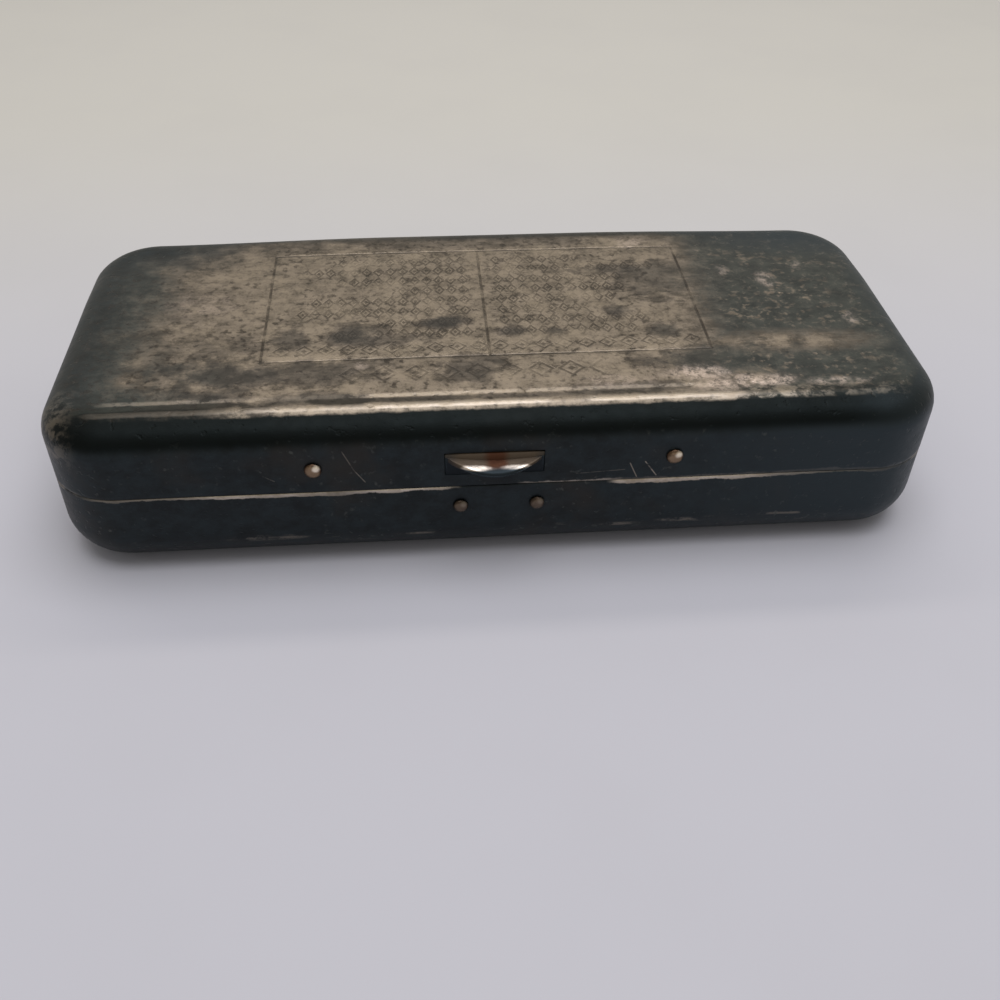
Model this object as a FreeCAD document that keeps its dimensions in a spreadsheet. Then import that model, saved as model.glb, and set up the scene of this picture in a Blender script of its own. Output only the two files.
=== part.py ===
import FreeCAD, Part
import math
import os
import re

import Sketcher

# A pocket razor case of drawn sheet brass: a base tray and a shallow lid, hinged at the back.
# The origin is the centre of the base's flat bottom. X runs along the case, Y from the catch at
# the front (-Y) to the hinge at the back (+Y), and Z up. All sizes are in millimetres.
doc = FreeCAD.newDocument("razor_case")
sheet = doc.addObject("Spreadsheet::Sheet", "sizes")

# Base and lid knuckles take turns along the hinge, starting and ending with the base
KNUCKLES = 5

DRIVING_SIZES = {
    # Outer form of the closed case
    "case_length": 100.0,
    "case_depth": 44.4,
    "case_height": 19.5,
    "seam_height": 10.85,
    "plan_corner": 8.0,
    "base_roll": 5.4,
    "lid_roll": 3.6,
    "wall": 0.8,
    "seam_break": 0.2,
    # Inner band that the lid closes over
    "rim_wall": 0.5,
    "rim_rise": 1.2,
    "rim_depth": 4.0,
    "rim_play": 0.2,
    "rim_gap_margin": 1.6,
    # Hinge
    "hinge_length": 56.0,
    "hinge_standoff": 0.5,
    "barrel_radius": 1.1,
    "pin_radius": 0.5,
    "pin_play": 0.05,
    "knuckle_play": 0.12,
    "leaf_wall": 0.5,
    "base_leaf_height": 5.2,
    "lid_leaf_height": 4.4,
    "leaf_play": 0.1,
    "notch_play": 0.25,
    # Catch: a leaf spring on the base with a thumb button that snaps into the lid
    "catch_shift": -0.5,
    "spring_width": 12.6,
    "spring_wall": 0.35,
    "spring_foot": 5.6,
    "spring_joggle": 0.6,
    "spring_top": 16.0,
    "catch_rivet_spread": 4.27,
    "catch_rivet_height": 8.15,
    "button_shift": -1.0,
    "button_width": 10.3,
    "button_reach": 2.0,
    "button_bottom": 12.8,
    "button_shoulder": 13.7,
    "button_top": 15.2,
    "button_edge": 0.3,
    "flange_wall": 0.4,
    "flange_margin": 1.1,
    "slot_play": 0.3,
    # Rivets
    "rivet_shank": 0.6,
    "rivet_play": 0.02,
    "catch_head_radius": 0.85,
    "clip_head_radius": 0.95,
    "head_height": 0.55,
    "tail_radius": 0.9,
    "tail_height": 0.3,
    # Clips and rail that hold the two blade packets in the lid
    "lid_shift": -0.9,
    "clip_spread": 19.66,
    "clip_height": 14.0,
    "clip_width": 8.0,
    "clip_wall": 0.4,
    "clip_leg": 3.4,
    "clip_reach": 4.0,
    "clip_curl": 0.7,
    "packet_play": 0.3,
    "packet_depth": 23.6,
    "rail_length": 64.0,
    "rail_wall": 0.5,
    "rail_lip": 1.4,
    # Lid lining
    "card_wall": 0.6,
    "satin_wall": 0.5,
    "card_play": 0.2,
    # Fitted bed in the base
    "bed_play": 0.3,
    "bed_top": 10.3,
    "velvet_wall": 0.4,
    "trough_end_wall": 8.2,
    "trough_width": 11.4,
    "trough_corner": 4.5,
    "trough_floor": 2.1,
    "trough_roll": 4.0,
    "recess_end_wall": 2.3,
    "recess_corner": 2.0,
    "recess_floor": 4.1,
    "recess_web": 3.0,
    "bed_web": 1.4,
    "bed_side_wall": 1.2,
    "stud_well_radius": 4.0,
    "stud_well_floor": 1.8,
}

# Sizes that follow from the driving ones
WORKED_OUT_SIZES = {
    "front_inside": "-case_depth / 2 + wall",
    "back_inside": "case_depth / 2 - wall",
    "lid_ceiling": "case_height - wall",
    "rim_top": "seam_height + rim_rise",
    "axis_back": "case_depth / 2 + hinge_standoff",
    "notch_length": "hinge_length + 2 * notch_play",
    "notch_reach": "barrel_radius + notch_play",
    "knuckle_pitch": f"(hinge_length + knuckle_play) / {KNUCKLES}",
    "spring_front": "front_inside + spring_joggle",
    "flange_back": "spring_front",
    "bed_inset": "wall + rim_play + rim_wall + bed_play",
    "bed_half_length": "case_length / 2 - bed_inset",
    "bed_half_depth": "case_depth / 2 - bed_inset",
    "trough_length": "2 * (bed_half_length - trough_end_wall)",
    "trough_middle": "bed_half_depth - bed_side_wall - trough_width / 2",
    "recess_length": "bed_half_length - recess_end_wall - recess_web / 2",
    "recess_width": "2 * (bed_half_depth - bed_side_wall) - trough_width - bed_web",
    "recess_middle": "bed_side_wall + recess_width / 2 - bed_half_depth",
    "recess_offset": "(recess_length + recess_web) / 2",
    "clip_bottom": "rim_top + packet_play",
    "packet_front": "front_inside + clip_reach - packet_play",
    "rail_front": "packet_front + packet_depth + packet_play",
    "card_inset": "lid_roll + card_play",
}

for row, (alias, number) in enumerate(DRIVING_SIZES.items(), start=1):
    sheet.set(f"A{row}", alias)
    sheet.set(f"B{row}", str(number))
    sheet.setAlias(f"B{row}", alias)
for row, (alias, formula) in enumerate(WORKED_OUT_SIZES.items(), start=len(DRIVING_SIZES) + 1):
    sheet.set(f"A{row}", alias)
    sheet.set(f"B{row}", f"={formula}")
    sheet.setAlias(f"B{row}", alias)
doc.recompute()
ALIASES = {*DRIVING_SIZES, *WORKED_OUT_SIZES}


def linked(formula):
    """A formula in the sheet's aliases, with each alias pointing at the sheet."""
    return re.sub(r"[a-z][a-z0-9_]*",
                  lambda word: f"sizes.{word[0]}" if word[0] in ALIASES else word[0], formula)


def value(formula):
    """The number that a formula gives at the moment."""
    result = sheet.evalExpression(linked(formula))
    return float(getattr(result, "Value", result))


def bind(item, **formulas):
    """Bind each named property of an object to a formula; Length, Base_x and the like."""
    for name, formula in formulas.items():
        item.setExpression(name.replace("_", "."), linked(formula))


def place(item, x="0", y="0", z="0"):
    """Bind the place of an object that has its own Placement."""
    bind(item, Placement_Base_x=x, Placement_Base_y=y, Placement_Base_z=z)


def body(name):
    """A new body whose label is also its file's name."""
    item = doc.addObject("PartDesign::Body", name)
    item.Label = name
    return item


def plane(owner, role):
    """The origin plane of a body that has the given role."""
    return next(feature for feature in owner.Origin.OriginFeatures if feature.Role == role)


def rounded_outline(owner, name, length, width, corner, x="0", y="0", z="0"):
    """A fully constrained rounded rectangle in a horizontal plane, centred on x, y."""
    sketch = owner.newObject("Sketcher::SketchObject", name)
    sketch.AttachmentSupport = [(plane(owner, "XY_Plane"), "")]
    sketch.MapMode = "FlatFace"
    for axis, formula in (("x", x), ("y", y), ("z", z)):
        sketch.setExpression(f"AttachmentOffset.Base.{axis}", linked(formula))
    half_x, half_y, radius = value(length) / 2, value(width) / 2, value(corner)
    straight_x, straight_y = half_x - radius, half_y - radius
    up = FreeCAD.Vector(0, 0, 1)
    point = FreeCAD.Vector
    sides = [
        (point(-straight_x, -half_y), point(straight_x, -half_y)),
        (point(half_x, -straight_y), point(half_x, straight_y)),
        (point(straight_x, half_y), point(-straight_x, half_y)),
        (point(-half_x, straight_y), point(-half_x, -straight_y)),
    ]
    for start, end in sides:
        sketch.addGeometry(Part.LineSegment(start, end), False)
    centres = [(straight_x, -straight_y), (straight_x, straight_y),
               (-straight_x, straight_y), (-straight_x, -straight_y)]
    quarter = math.pi / 2
    for turn, (centre_x, centre_y) in enumerate(centres, start=-1):
        circle = Part.Circle(point(centre_x, centre_y), up, radius)
        sketch.addGeometry(Part.ArcOfCircle(circle, turn * quarter, (turn + 1) * quarter), False)
    for side in range(4):
        arc, following = side + 4, (side + 1) % 4
        sketch.addConstraint(Sketcher.Constraint("Tangent", side, 2, arc, 1))
        sketch.addConstraint(Sketcher.Constraint("Tangent", arc, 2, following, 1))
        sketch.addConstraint(Sketcher.Constraint("Vertical" if side % 2 else "Horizontal", side))
    for arc in (5, 6, 7):
        sketch.addConstraint(Sketcher.Constraint("Equal", 4, arc))
    sketch.addConstraint(Sketcher.Constraint("Symmetric", 4, 3, 6, 3, -1, 1))
    sized = {
        "corner": (Sketcher.Constraint("Radius", 4, radius), corner),
        "length": (Sketcher.Constraint("DistanceX", 3, 1, 1, 1, 2 * half_x), length),
        "width": (Sketcher.Constraint("DistanceY", 0, 1, 2, 1, 2 * half_y), width),
    }
    for label, (constraint, formula) in sized.items():
        index = sketch.addConstraint(constraint)
        sketch.renameConstraint(index, label)
        sketch.setExpression(f"Constraints.{label}", linked(formula))
    sketch.Visibility = False
    return sketch


def pad(owner, name, sketch, length, downwards=False):
    """Raise a sketch by a length, or lower it."""
    feature = owner.newObject("PartDesign::Pad", name)
    feature.Profile = sketch
    feature.Reversed = downwards
    bind(feature, Length=length)
    owner.Tip = feature
    return feature


def pocket(owner, name, sketch, length, upwards=False):
    """Sink a sketch into the solid by a length, down or up."""
    feature = owner.newObject("PartDesign::Pocket", name)
    feature.Profile = sketch
    feature.Reversed = upwards
    bind(feature, Length=length)
    owner.Tip = feature
    return feature


def block(owner, name, x, y, z, length, width, height, cut=False):
    """Add or cut a box whose lowest corner is x, y, z."""
    kind = "PartDesign::SubtractiveBox" if cut else "PartDesign::AdditiveBox"
    feature = owner.newObject(kind, name)
    bind(feature, Length=length, Width=width, Height=height)
    place(feature, x, y, z)
    owner.Tip = feature
    return feature


def round_hole(owner, name, x, y, z, radius, depth, along_y=True):
    """Cut a round hole that starts at x, y, z and runs towards +Y, or straight up."""
    feature = owner.newObject("PartDesign::SubtractiveCylinder", name)
    if along_y:
        feature.Placement.Rotation = FreeCAD.Rotation(FreeCAD.Vector(1, 0, 0), -90)
    bind(feature, Radius=radius, Height=depth)
    place(feature, x, y, z)
    owner.Tip = feature
    return feature


def profile(owner, name, points, role="YZ_Plane", offset="0"):
    """A closed polygon in an origin plane, moved along that plane's normal by an offset.

    Each point is a pair of formulas, measured from the origin along the plane's own axes.
    """
    sketch = owner.newObject("Sketcher::SketchObject", name)
    sketch.AttachmentSupport = [(plane(owner, role), "")]
    sketch.MapMode = "FlatFace"
    sketch.setExpression("AttachmentOffset.Base.z", linked(offset))
    spots = [FreeCAD.Vector(value(across), value(up)) for across, up in points]
    count = len(spots)
    for number, spot in enumerate(spots):
        sketch.addGeometry(Part.LineSegment(spot, spots[(number + 1) % count]), False)
    for number in range(count):
        following = (number + 1) % count
        sketch.addConstraint(Sketcher.Constraint("Coincident", number, 2, following, 1))
    for number, (across, up) in enumerate(points):
        for letter, formula in (("X", across), ("Y", up)):
            constraint = Sketcher.Constraint(f"Distance{letter}", -1, 1, number, 1,
                                             value(formula))
            label = f"point_{number}_{letter.lower()}"
            sketch.renameConstraint(sketch.addConstraint(constraint), label)
            sketch.setExpression(f"Constraints.{label}", linked(formula))
    sketch.Visibility = False
    return sketch


def level_edges(shape, height):
    """Names of the edges that lie flat at a height."""
    names = []
    for number, edge in enumerate(shape.Edges, start=1):
        box = edge.BoundBox
        flat = abs(box.ZMin - height) < 1e-5 and abs(box.ZMax - height) < 1e-5
        if flat:
            names.append(f"Edge{number}")
    return names


def round_edges(owner, name, base, names, radius):
    """Fillet the named edges of the feature before."""
    feature = owner.newObject("PartDesign::Fillet", name)
    feature.Base = (base, names)
    bind(feature, Radius=radius)
    owner.Tip = feature
    return feature


def rim_edges(shape, height):
    """Names of the flat edges at a height that bound the case's outer walls."""
    corner_x = value("case_length / 2 - plan_corner")
    corner_y = value("case_depth / 2 - plan_corner")
    names = []
    for name in level_edges(shape, height):
        edge = shape.getElement(name)
        middle = edge.valueAt((edge.FirstParameter + edge.LastParameter) / 2)
        out = FreeCAD.Vector(max(abs(middle.x) - corner_x, 0), max(abs(middle.y) - corner_y, 0), 0)
        if abs(out.Length - value("plan_corner")) < 1e-4:
            names.append(name)
    return names


def drawn_shell(name, floor, rim, roll):
    """A drawn tray or lid: a rounded block with a rolled closed side, hollowed from its rim.

    The closed side is at height floor and the open rim at height rim.
    """
    opens_up = value(rim) > value(floor)
    shell = body(name)
    outline = rounded_outline(shell, f"{name}_outline", "case_length", "case_depth",
                              "plan_corner", z=floor if opens_up else rim)
    solid = pad(shell, f"{name}_block", outline,
                f"{rim} - {floor}" if opens_up else f"{floor} - {rim}")
    doc.recompute()
    rolled = round_edges(shell, f"{name}_roll", solid,
                         level_edges(solid.Shape, value(floor)), roll)
    doc.recompute()
    open_face = next(f"Face{number}" for number, face in enumerate(rolled.Shape.Faces, start=1)
                     if abs(face.CenterOfMass.z - value(rim)) < 1e-6)
    hollow = shell.newObject("PartDesign::Thickness", f"{name}_hollow")
    hollow.Base = (rolled, [open_face])
    hollow.Reversed = True
    bind(hollow, Value="wall")
    shell.Tip = hollow
    doc.recompute()
    if hollow.Shape.Volume >= rolled.Shape.Volume:
        raise RuntimeError(f"{name}: the hollow cut nothing")
    round_edges(shell, f"{name}_seam_edge", hollow, rim_edges(hollow.Shape, value(rim)),
                "seam_break")
    return shell


# Base shell: the tray, with rivet holes for the catch and a notch for the hinge barrel
base_shell = drawn_shell("base_shell", "0", "seam_height", "base_roll")
for side, sign in (("left", "-"), ("right", "+")):
    round_hole(base_shell, f"base_rivet_hole_{side}",
               f"catch_shift {sign} catch_rivet_spread", "-case_depth / 2 - wall",
               "catch_rivet_height", "rivet_shank + rivet_play", "3 * wall")
block(base_shell, "base_hinge_notch", "-notch_length / 2", "back_inside - wall / 2",
      "seam_height - notch_reach", "notch_length", "2 * wall", "2 * notch_reach", cut=True)

# Lid shell: the shallower drawn cover, with the catch slot, rivet holes and hinge notch
lid_shell = drawn_shell("lid_shell", "case_height", "seam_height", "lid_roll")
block(lid_shell, "catch_slot", "button_shift - button_width / 2 - slot_play",
      "-case_depth / 2 - wall / 2", "button_bottom - slot_play",
      "button_width + 2 * slot_play", "2 * wall", "button_top - button_bottom + 2 * slot_play",
      cut=True)
for side, sign in (("left", "-"), ("right", "+")):
    round_hole(lid_shell, f"lid_rivet_hole_{side}", f"lid_shift {sign} clip_spread",
               "-case_depth / 2 - wall", "clip_height", "rivet_shank + rivet_play", "3 * wall")
block(lid_shell, "lid_hinge_notch", "-notch_length / 2", "back_inside - wall / 2",
      "seam_height - notch_reach", "notch_length", "2 * wall", "2 * notch_reach", cut=True)


# Locating rim: a thin band soldered inside the base, set in above the seam to clear the lid
def rim_band(owner, name, inset, low, height):
    """One step of the band, as tall as given, with its outer face inset from the outside."""
    outer = rounded_outline(owner, f"{name}_outer", f"case_length - 2 * ({inset})",
                            f"case_depth - 2 * ({inset})", f"plan_corner - ({inset})", z=low)
    pad(owner, f"{name}_band", outer, height)


def locating_rim(name, other_half):
    """The band on one side of the catch and the hinge; other_half is the lowest X cut away."""
    rim = body(name)
    rim_band(rim, f"{name}_lower", "wall", "seam_height - rim_depth", "rim_depth - rim_play")
    rim_band(rim, f"{name}_upper", "wall + rim_play", "seam_height - rim_depth",
             "rim_depth + rim_rise")
    inner = rounded_outline(rim, f"{name}_inner",
                            "case_length - 2 * (wall + rim_play + rim_wall)",
                            "case_depth - 2 * (wall + rim_play + rim_wall)",
                            "plan_corner - wall - rim_play - rim_wall", z="rim_top")
    pocket(rim, f"{name}_hollow", inner, "rim_depth + rim_rise + wall")
    low = "seam_height - rim_depth - wall"
    tall = "rim_depth + rim_rise + 2 * wall"
    band = "wall + rim_play + 2 * rim_wall"
    block(rim, f"{name}_catch_gap", "catch_shift - spring_width / 2 - rim_gap_margin",
          "-case_depth / 2", low, "spring_width + 2 * rim_gap_margin", band, tall, cut=True)
    block(rim, f"{name}_hinge_gap", "-hinge_length / 2 - rim_gap_margin",
          f"case_depth / 2 - ({band})", low, "hinge_length + 2 * rim_gap_margin", band, tall,
          cut=True)
    block(rim, f"{name}_other_half", other_half, "-case_depth / 2", low, "case_length / 2",
          "case_depth", tall, cut=True)


locating_rim("locating_rim_left", "0")
locating_rim("locating_rim_right", "-case_length / 2")


# Hinge: two leaves soldered inside the back walls, with knuckles turned out through the notch
def hinge_leaf(name, knuckles, strip_z, strip_height, tab_z):
    """A leaf with its knuckles; each knuckle is a barrel on a tab that reaches from the strip."""
    leaf = body(name)
    block(leaf, f"{name}_strip", "-hinge_length / 2", "back_inside - leaf_wall", strip_z,
          "hinge_length", "leaf_wall", strip_height)
    for number in knuckles:
        start = f"{number} * knuckle_pitch - hinge_length / 2"
        width = "knuckle_pitch - knuckle_play"
        block(leaf, f"{name}_tab_{number}", start, "back_inside - leaf_wall", tab_z, width,
              "axis_back - back_inside + leaf_wall", "leaf_wall")
        barrel = leaf.newObject("PartDesign::AdditiveCylinder", f"{name}_barrel_{number}")
        barrel.Placement.Rotation = FreeCAD.Rotation(FreeCAD.Vector(0, 1, 0), 90)
        bind(barrel, Radius="barrel_radius", Height=width)
        place(barrel, start, "axis_back", "seam_height")
    bore = leaf.newObject("PartDesign::SubtractiveCylinder", f"{name}_bore")
    bore.Placement.Rotation = FreeCAD.Rotation(FreeCAD.Vector(0, 1, 0), 90)
    bind(bore, Radius="pin_radius + pin_play", Height="hinge_length + 2 * wall")
    place(bore, "-hinge_length / 2 - wall", "axis_back", "seam_height")
    leaf.Tip = bore
    return leaf


hinge_leaf("base_hinge_leaf", range(0, KNUCKLES, 2), "seam_height - leaf_play - base_leaf_height",
           "base_leaf_height", "seam_height - leaf_play - leaf_wall")
hinge_leaf("lid_hinge_leaf", range(1, KNUCKLES, 2), "seam_height + leaf_play",
           "lid_leaf_height", "seam_height + leaf_play")

pin = doc.addObject("Part::Cylinder", "hinge_pin")
pin.Label = "hinge_pin"
pin.Placement.Rotation = FreeCAD.Rotation(FreeCAD.Vector(0, 1, 0), 90)
bind(pin, Radius="pin_radius", Height="hinge_length")
place(pin, "-hinge_length / 2", "axis_back", "seam_height")

# Catch spring: a leaf riveted inside the front wall that steps in above the seam
spring = body("catch_spring")
step_top = "seam_height - leaf_play"
spring_section = profile(spring, "spring_section", [
    ("front_inside", "spring_foot"),
    ("front_inside + spring_wall", "spring_foot"),
    ("front_inside + spring_wall", f"{step_top} - spring_wall"),
    ("spring_front + spring_wall", f"{step_top} - spring_wall"),
    ("spring_front + spring_wall", "spring_top"),
    ("spring_front", "spring_top"),
    ("spring_front", step_top),
    ("front_inside", step_top),
], offset="catch_shift - spring_width / 2")
pad(spring, "spring_leaf", spring_section, "spring_width")
for side, sign in (("left", "-"), ("right", "+")):
    round_hole(spring, f"spring_hole_{side}", f"catch_shift {sign} catch_rivet_spread",
               "front_inside - spring_wall", "catch_rivet_height", "rivet_shank + rivet_play",
               "3 * spring_wall")

# Push button: a half-moon thumb piece with a sloped face, on a flange wider than its slot
button = body("push_button")
crescent_radius = ("(button_width * button_width / 4 + button_reach * button_reach)"
                   " / (2 * button_reach)")


def crescent_sketch(owner, name):
    """The button's plan: a shallow arc in front of the wall, closed by a straight stem behind."""
    sketch = owner.newObject("Sketcher::SketchObject", name)
    sketch.AttachmentSupport = [(plane(owner, "XY_Plane"), "")]
    sketch.MapMode = "FlatFace"
    for axis, formula in (("x", "button_shift"), ("y", "-case_depth / 2"),
                          ("z", "button_bottom")):
        sketch.setExpression(f"AttachmentOffset.Base.{axis}", linked(formula))
    point = FreeCAD.Vector
    half, reach = value("button_width") / 2, value("button_reach")
    back = value("flange_back - flange_wall + case_depth / 2")
    front_arc = Part.Arc(point(-half, 0, 0), point(0, -reach, 0), point(half, 0, 0))
    sketch.addGeometry(front_arc, False)
    for start, end in ((point(half, 0), point(half, back)), (point(half, back), point(-half, back)),
                       (point(-half, back), point(-half, 0))):
        sketch.addGeometry(Part.LineSegment(start, end), False)
    for first, second in ((1, 2), (2, 3)):
        sketch.addConstraint(Sketcher.Constraint("Coincident", first, 2, second, 1))
    sketch.addConstraint(Sketcher.Constraint("Coincident", 0, 2, 1, 1))
    sketch.addConstraint(Sketcher.Constraint("Coincident", 3, 2, 0, 1))
    sketch.addConstraint(Sketcher.Constraint("Vertical", 1))
    sketch.addConstraint(Sketcher.Constraint("Vertical", 3))
    sketch.addConstraint(Sketcher.Constraint("Horizontal", 2))
    sketch.addConstraint(Sketcher.Constraint("PointOnObject", 1, 1, -1))
    sketch.addConstraint(Sketcher.Constraint("Symmetric", 0, 1, 0, 2, -2))
    sized = {
        "front_radius": (Sketcher.Constraint("Radius", 0, value(crescent_radius)),
                         crescent_radius),
        "stem_width": (Sketcher.Constraint("DistanceX", 3, 1, 1, 1, 2 * half), "button_width"),
        "stem_depth": (Sketcher.Constraint("DistanceY", 1, 1, 1, 2, back),
                       "flange_back - flange_wall + case_depth / 2"),
    }
    for label, (constraint, formula) in sized.items():
        index = sketch.addConstraint(constraint)
        sketch.renameConstraint(index, label)
        sketch.setExpression(f"Constraints.{label}", linked(formula))
    sketch.Visibility = False
    return sketch


pad(button, "crescent", crescent_sketch(button, "crescent_plan"), "button_top - button_bottom")
doc.recompute()
slope = profile(button, "slope_section", [
    ("-case_depth / 2", "button_top"),
    ("-case_depth / 2 - button_reach", "button_shoulder"),
    ("-case_depth / 2 - 2 * button_reach", "button_shoulder"),
    ("-case_depth / 2 - 2 * button_reach", "button_top + button_reach"),
    ("-case_depth / 2", "button_top + button_reach"),
], offset="button_shift - button_width")
pocket(button, "thumb_slope", slope, "2 * button_width", upwards=True)
doc.recompute()
nose = button.Tip
front_edges = [
    f"Edge{number}" for number, edge in enumerate(nose.Shape.Edges, start=1)
    if edge.BoundBox.YMax < value("-case_depth / 2") + 1e-4 and edge.BoundBox.XLength > 1.0
    and edge.BoundBox.ZLength + edge.BoundBox.YLength > 0.05
]
round_edges(button, "button_rounding", nose, front_edges, "button_edge")
block(button, "button_flange", "button_shift - button_width / 2 - flange_margin",
      "flange_back - flange_wall", "button_bottom - slot_play - flange_wall",
      "button_width + 2 * flange_margin", "flange_wall",
      "button_top - button_bottom + 2 * slot_play + 2 * flange_wall")


# Packet clips: two spring angles riveted inside the lid's front, each with a curled lip
def packet_clip(name, side):
    """One clip, its leg flat on the wall and its lip reaching under the packet."""
    clip = body(name)
    section = profile(clip, f"{name}_section", [
        ("front_inside", "clip_bottom"),
        ("front_inside + clip_reach", "clip_bottom"),
        ("front_inside + clip_reach + clip_curl", "clip_bottom - clip_curl / 2"),
        ("front_inside + clip_reach + clip_curl", "clip_bottom + clip_wall - clip_curl / 2"),
        ("front_inside + clip_reach", "clip_bottom + clip_wall"),
        ("front_inside + clip_wall", "clip_bottom + clip_wall"),
        ("front_inside + clip_wall", "clip_bottom + clip_leg"),
        ("front_inside", "clip_bottom + clip_leg"),
    ], offset=f"lid_shift {side} clip_spread - clip_width / 2")
    pad(clip, f"{name}_leaf", section, "clip_width")
    round_hole(clip, f"{name}_hole", f"lid_shift {side} clip_spread", "front_inside - clip_wall",
               "clip_height", "rivet_shank + rivet_play", "3 * clip_wall")
    return clip


packet_clip("packet_clip_left", "-")
packet_clip("packet_clip_right", "+")

# Packet rail: an angle soldered to the lid's ceiling that holds the packets' back edges
rail = body("packet_rail")
rail_section = profile(rail, "rail_section", [
    ("rail_front", "clip_bottom"),
    ("rail_front + rail_wall", "clip_bottom"),
    ("rail_front + rail_wall", "lid_ceiling"),
    ("rail_front", "lid_ceiling"),
    ("rail_front", "clip_bottom + rail_wall"),
    ("rail_front - rail_lip", "clip_bottom + rail_wall"),
    ("rail_front - rail_lip", "clip_bottom"),
], offset="-rail_length / 2")
pad(rail, "rail_angle", rail_section, "rail_length")


# Lid lining: a stiff card on the ceiling, faced with satin, both slotted for the rail
def lid_sheet(name, top, thickness):
    """One sheet of the lid's lining, hung from a height."""
    layer = body(name)
    outline = rounded_outline(layer, f"{name}_outline", "case_length - 2 * card_inset",
                              "case_depth - 2 * card_inset", "plan_corner - card_inset",
                              z=f"{top} - {thickness}")
    pad(layer, f"{name}_sheet", outline, thickness)
    block(layer, f"{name}_rail_slot", "-rail_length / 2 - card_play", "rail_front - card_play",
          f"{top} - {thickness} - card_play", "rail_length + 2 * card_play",
          "rail_wall + 2 * card_play", f"{thickness} + 2 * card_play", cut=True)
    return layer


lid_sheet("lid_card", "lid_ceiling", "card_wall")
lid_sheet("lid_satin", "lid_ceiling - card_wall", "satin_wall")


# Fitted bed: a moulded card block with a handle trough and two head recesses, lined in velvet
def bed_hollows(owner, name, grow, drop, top, cut):
    """Sink, or fill, the trough, the two recesses and their stud wells.

    grow widens each hollow on every side and drop lowers its floor.
    """
    spaces = {
        "trough": ("0", "trough_middle", "trough_length", "trough_width", "trough_corner",
                   "trough_floor"),
        "recess_left": ("-recess_offset", "recess_middle", "recess_length", "recess_width",
                        "recess_corner", "recess_floor"),
        "recess_right": ("recess_offset", "recess_middle", "recess_length", "recess_width",
                         "recess_corner", "recess_floor"),
    }
    for space, (x, y, length, width, corner, floor) in spaces.items():
        outline = rounded_outline(owner, f"{name}_{space}_outline", f"{length} + 2 * {grow}",
                                  f"{width} + 2 * {grow}", f"{corner} + {grow}", x, y, top)
        depth = f"{top} - {floor} + {drop}"
        if cut:
            hollow = pocket(owner, f"{name}_{space}", outline, depth)
        else:
            pad(owner, f"{name}_{space}", outline, depth, downwards=True)
        if cut and space == "trough":
            doc.recompute()
            round_edges(owner, f"{name}_{space}_roll", hollow,
                        level_edges(hollow.Shape, value(f"{floor} - {drop}")),
                        f"trough_roll + {grow}")
    for side, sign in (("left", "-"), ("right", "")):
        kind = "Subtractive" if cut else "Additive"
        well = owner.newObject(f"PartDesign::{kind}Cylinder", f"{name}_well_{side}")
        bind(well, Radius=f"stud_well_radius + {grow}",
             Height="recess_floor - stud_well_floor + velvet_wall")
        place(well, f"{sign}recess_offset", "recess_middle", f"stud_well_floor - {drop}")
        owner.Tip = well


BED_OUTLINE = ("case_length - 2 * bed_inset", "case_depth - 2 * bed_inset",
               "plan_corner - bed_inset")
core = body("bed_core")
core_outline = rounded_outline(core, "bed_core_outline", *BED_OUTLINE, z="wall")
pad(core, "bed_core_block", core_outline, "bed_top - velvet_wall - wall")
bed_hollows(core, "core", "velvet_wall", "velvet_wall", "bed_top - velvet_wall", cut=True)
doc.recompute()
round_edges(core, "bed_core_roll", core.Tip, level_edges(core.Tip.Shape, value("wall")),
            "base_roll - wall")

velvet = body("bed_velvet")
velvet_outline = rounded_outline(velvet, "velvet_outline", *BED_OUTLINE,
                                 z="bed_top - velvet_wall")
pad(velvet, "velvet_face", velvet_outline, "velvet_wall")
bed_hollows(velvet, "velvet_lining", "velvet_wall", "velvet_wall", "bed_top - velvet_wall",
            cut=False)
bed_hollows(velvet, "velvet_hollow", "0", "0", "bed_top", cut=True)
doc.recompute()
round_edges(velvet, "velvet_trough_back", velvet.Tip,
            level_edges(velvet.Tip.Shape, value("trough_floor - velvet_wall")),
            "trough_roll + velvet_wall")


# Rivets: a low domed head outside, a shank through the wall and what it holds, a flat tail
def rivet(name, x, z, head_radius, grip, tail):
    """One rivet along Y through the front wall; grip is how much metal it holds."""
    dome_radius = f"({head_radius} * {head_radius} + head_height * head_height) / 2 / head_height"
    dome = doc.addObject("Part::Sphere", f"{name}_dome")
    dome.Placement.Rotation = FreeCAD.Rotation(FreeCAD.Vector(1, 0, 0), 90)
    bind(dome, Radius=dome_radius,
         Angle1=f"asin(1 - head_height / ({dome_radius}))")
    place(dome, x, f"-case_depth / 2 - head_height + {dome_radius}", z)
    pieces = [dome]
    for part_name, radius, start, length in (
            ("shank", "rivet_shank", "-case_depth / 2", f"{grip} + tail_height"),
            ("tail", tail, f"-case_depth / 2 + {grip}", "tail_height")):
        piece = doc.addObject("Part::Cylinder", f"{name}_{part_name}")
        piece.Placement.Rotation = FreeCAD.Rotation(FreeCAD.Vector(1, 0, 0), -90)
        bind(piece, Radius=radius, Height=length)
        place(piece, x, start, z)
        pieces.append(piece)
    joined = doc.addObject("Part::MultiFuse", f"{name}_solid")
    joined.Shapes = pieces
    return joined


def rivet_pair(name, shift, spread, z, head_radius, grip):
    """Two like rivets, left and right, kept together as one group of separate solids."""
    pair = doc.addObject("Part::Compound", name)
    pair.Label = name
    pair.Links = [rivet(f"{name}_{side}", f"{shift} {sign} {spread}", z, head_radius, grip,
                        "tail_radius") for side, sign in (("left", "-"), ("right", "+"))]
    return pair


rivet_pair("catch_rivets", "catch_shift", "catch_rivet_spread", "catch_rivet_height",
           "catch_head_radius", "wall + spring_wall")
rivet_pair("clip_rivets", "lid_shift", "clip_spread", "clip_height", "clip_head_radius",
           "wall + clip_wall")

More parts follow.
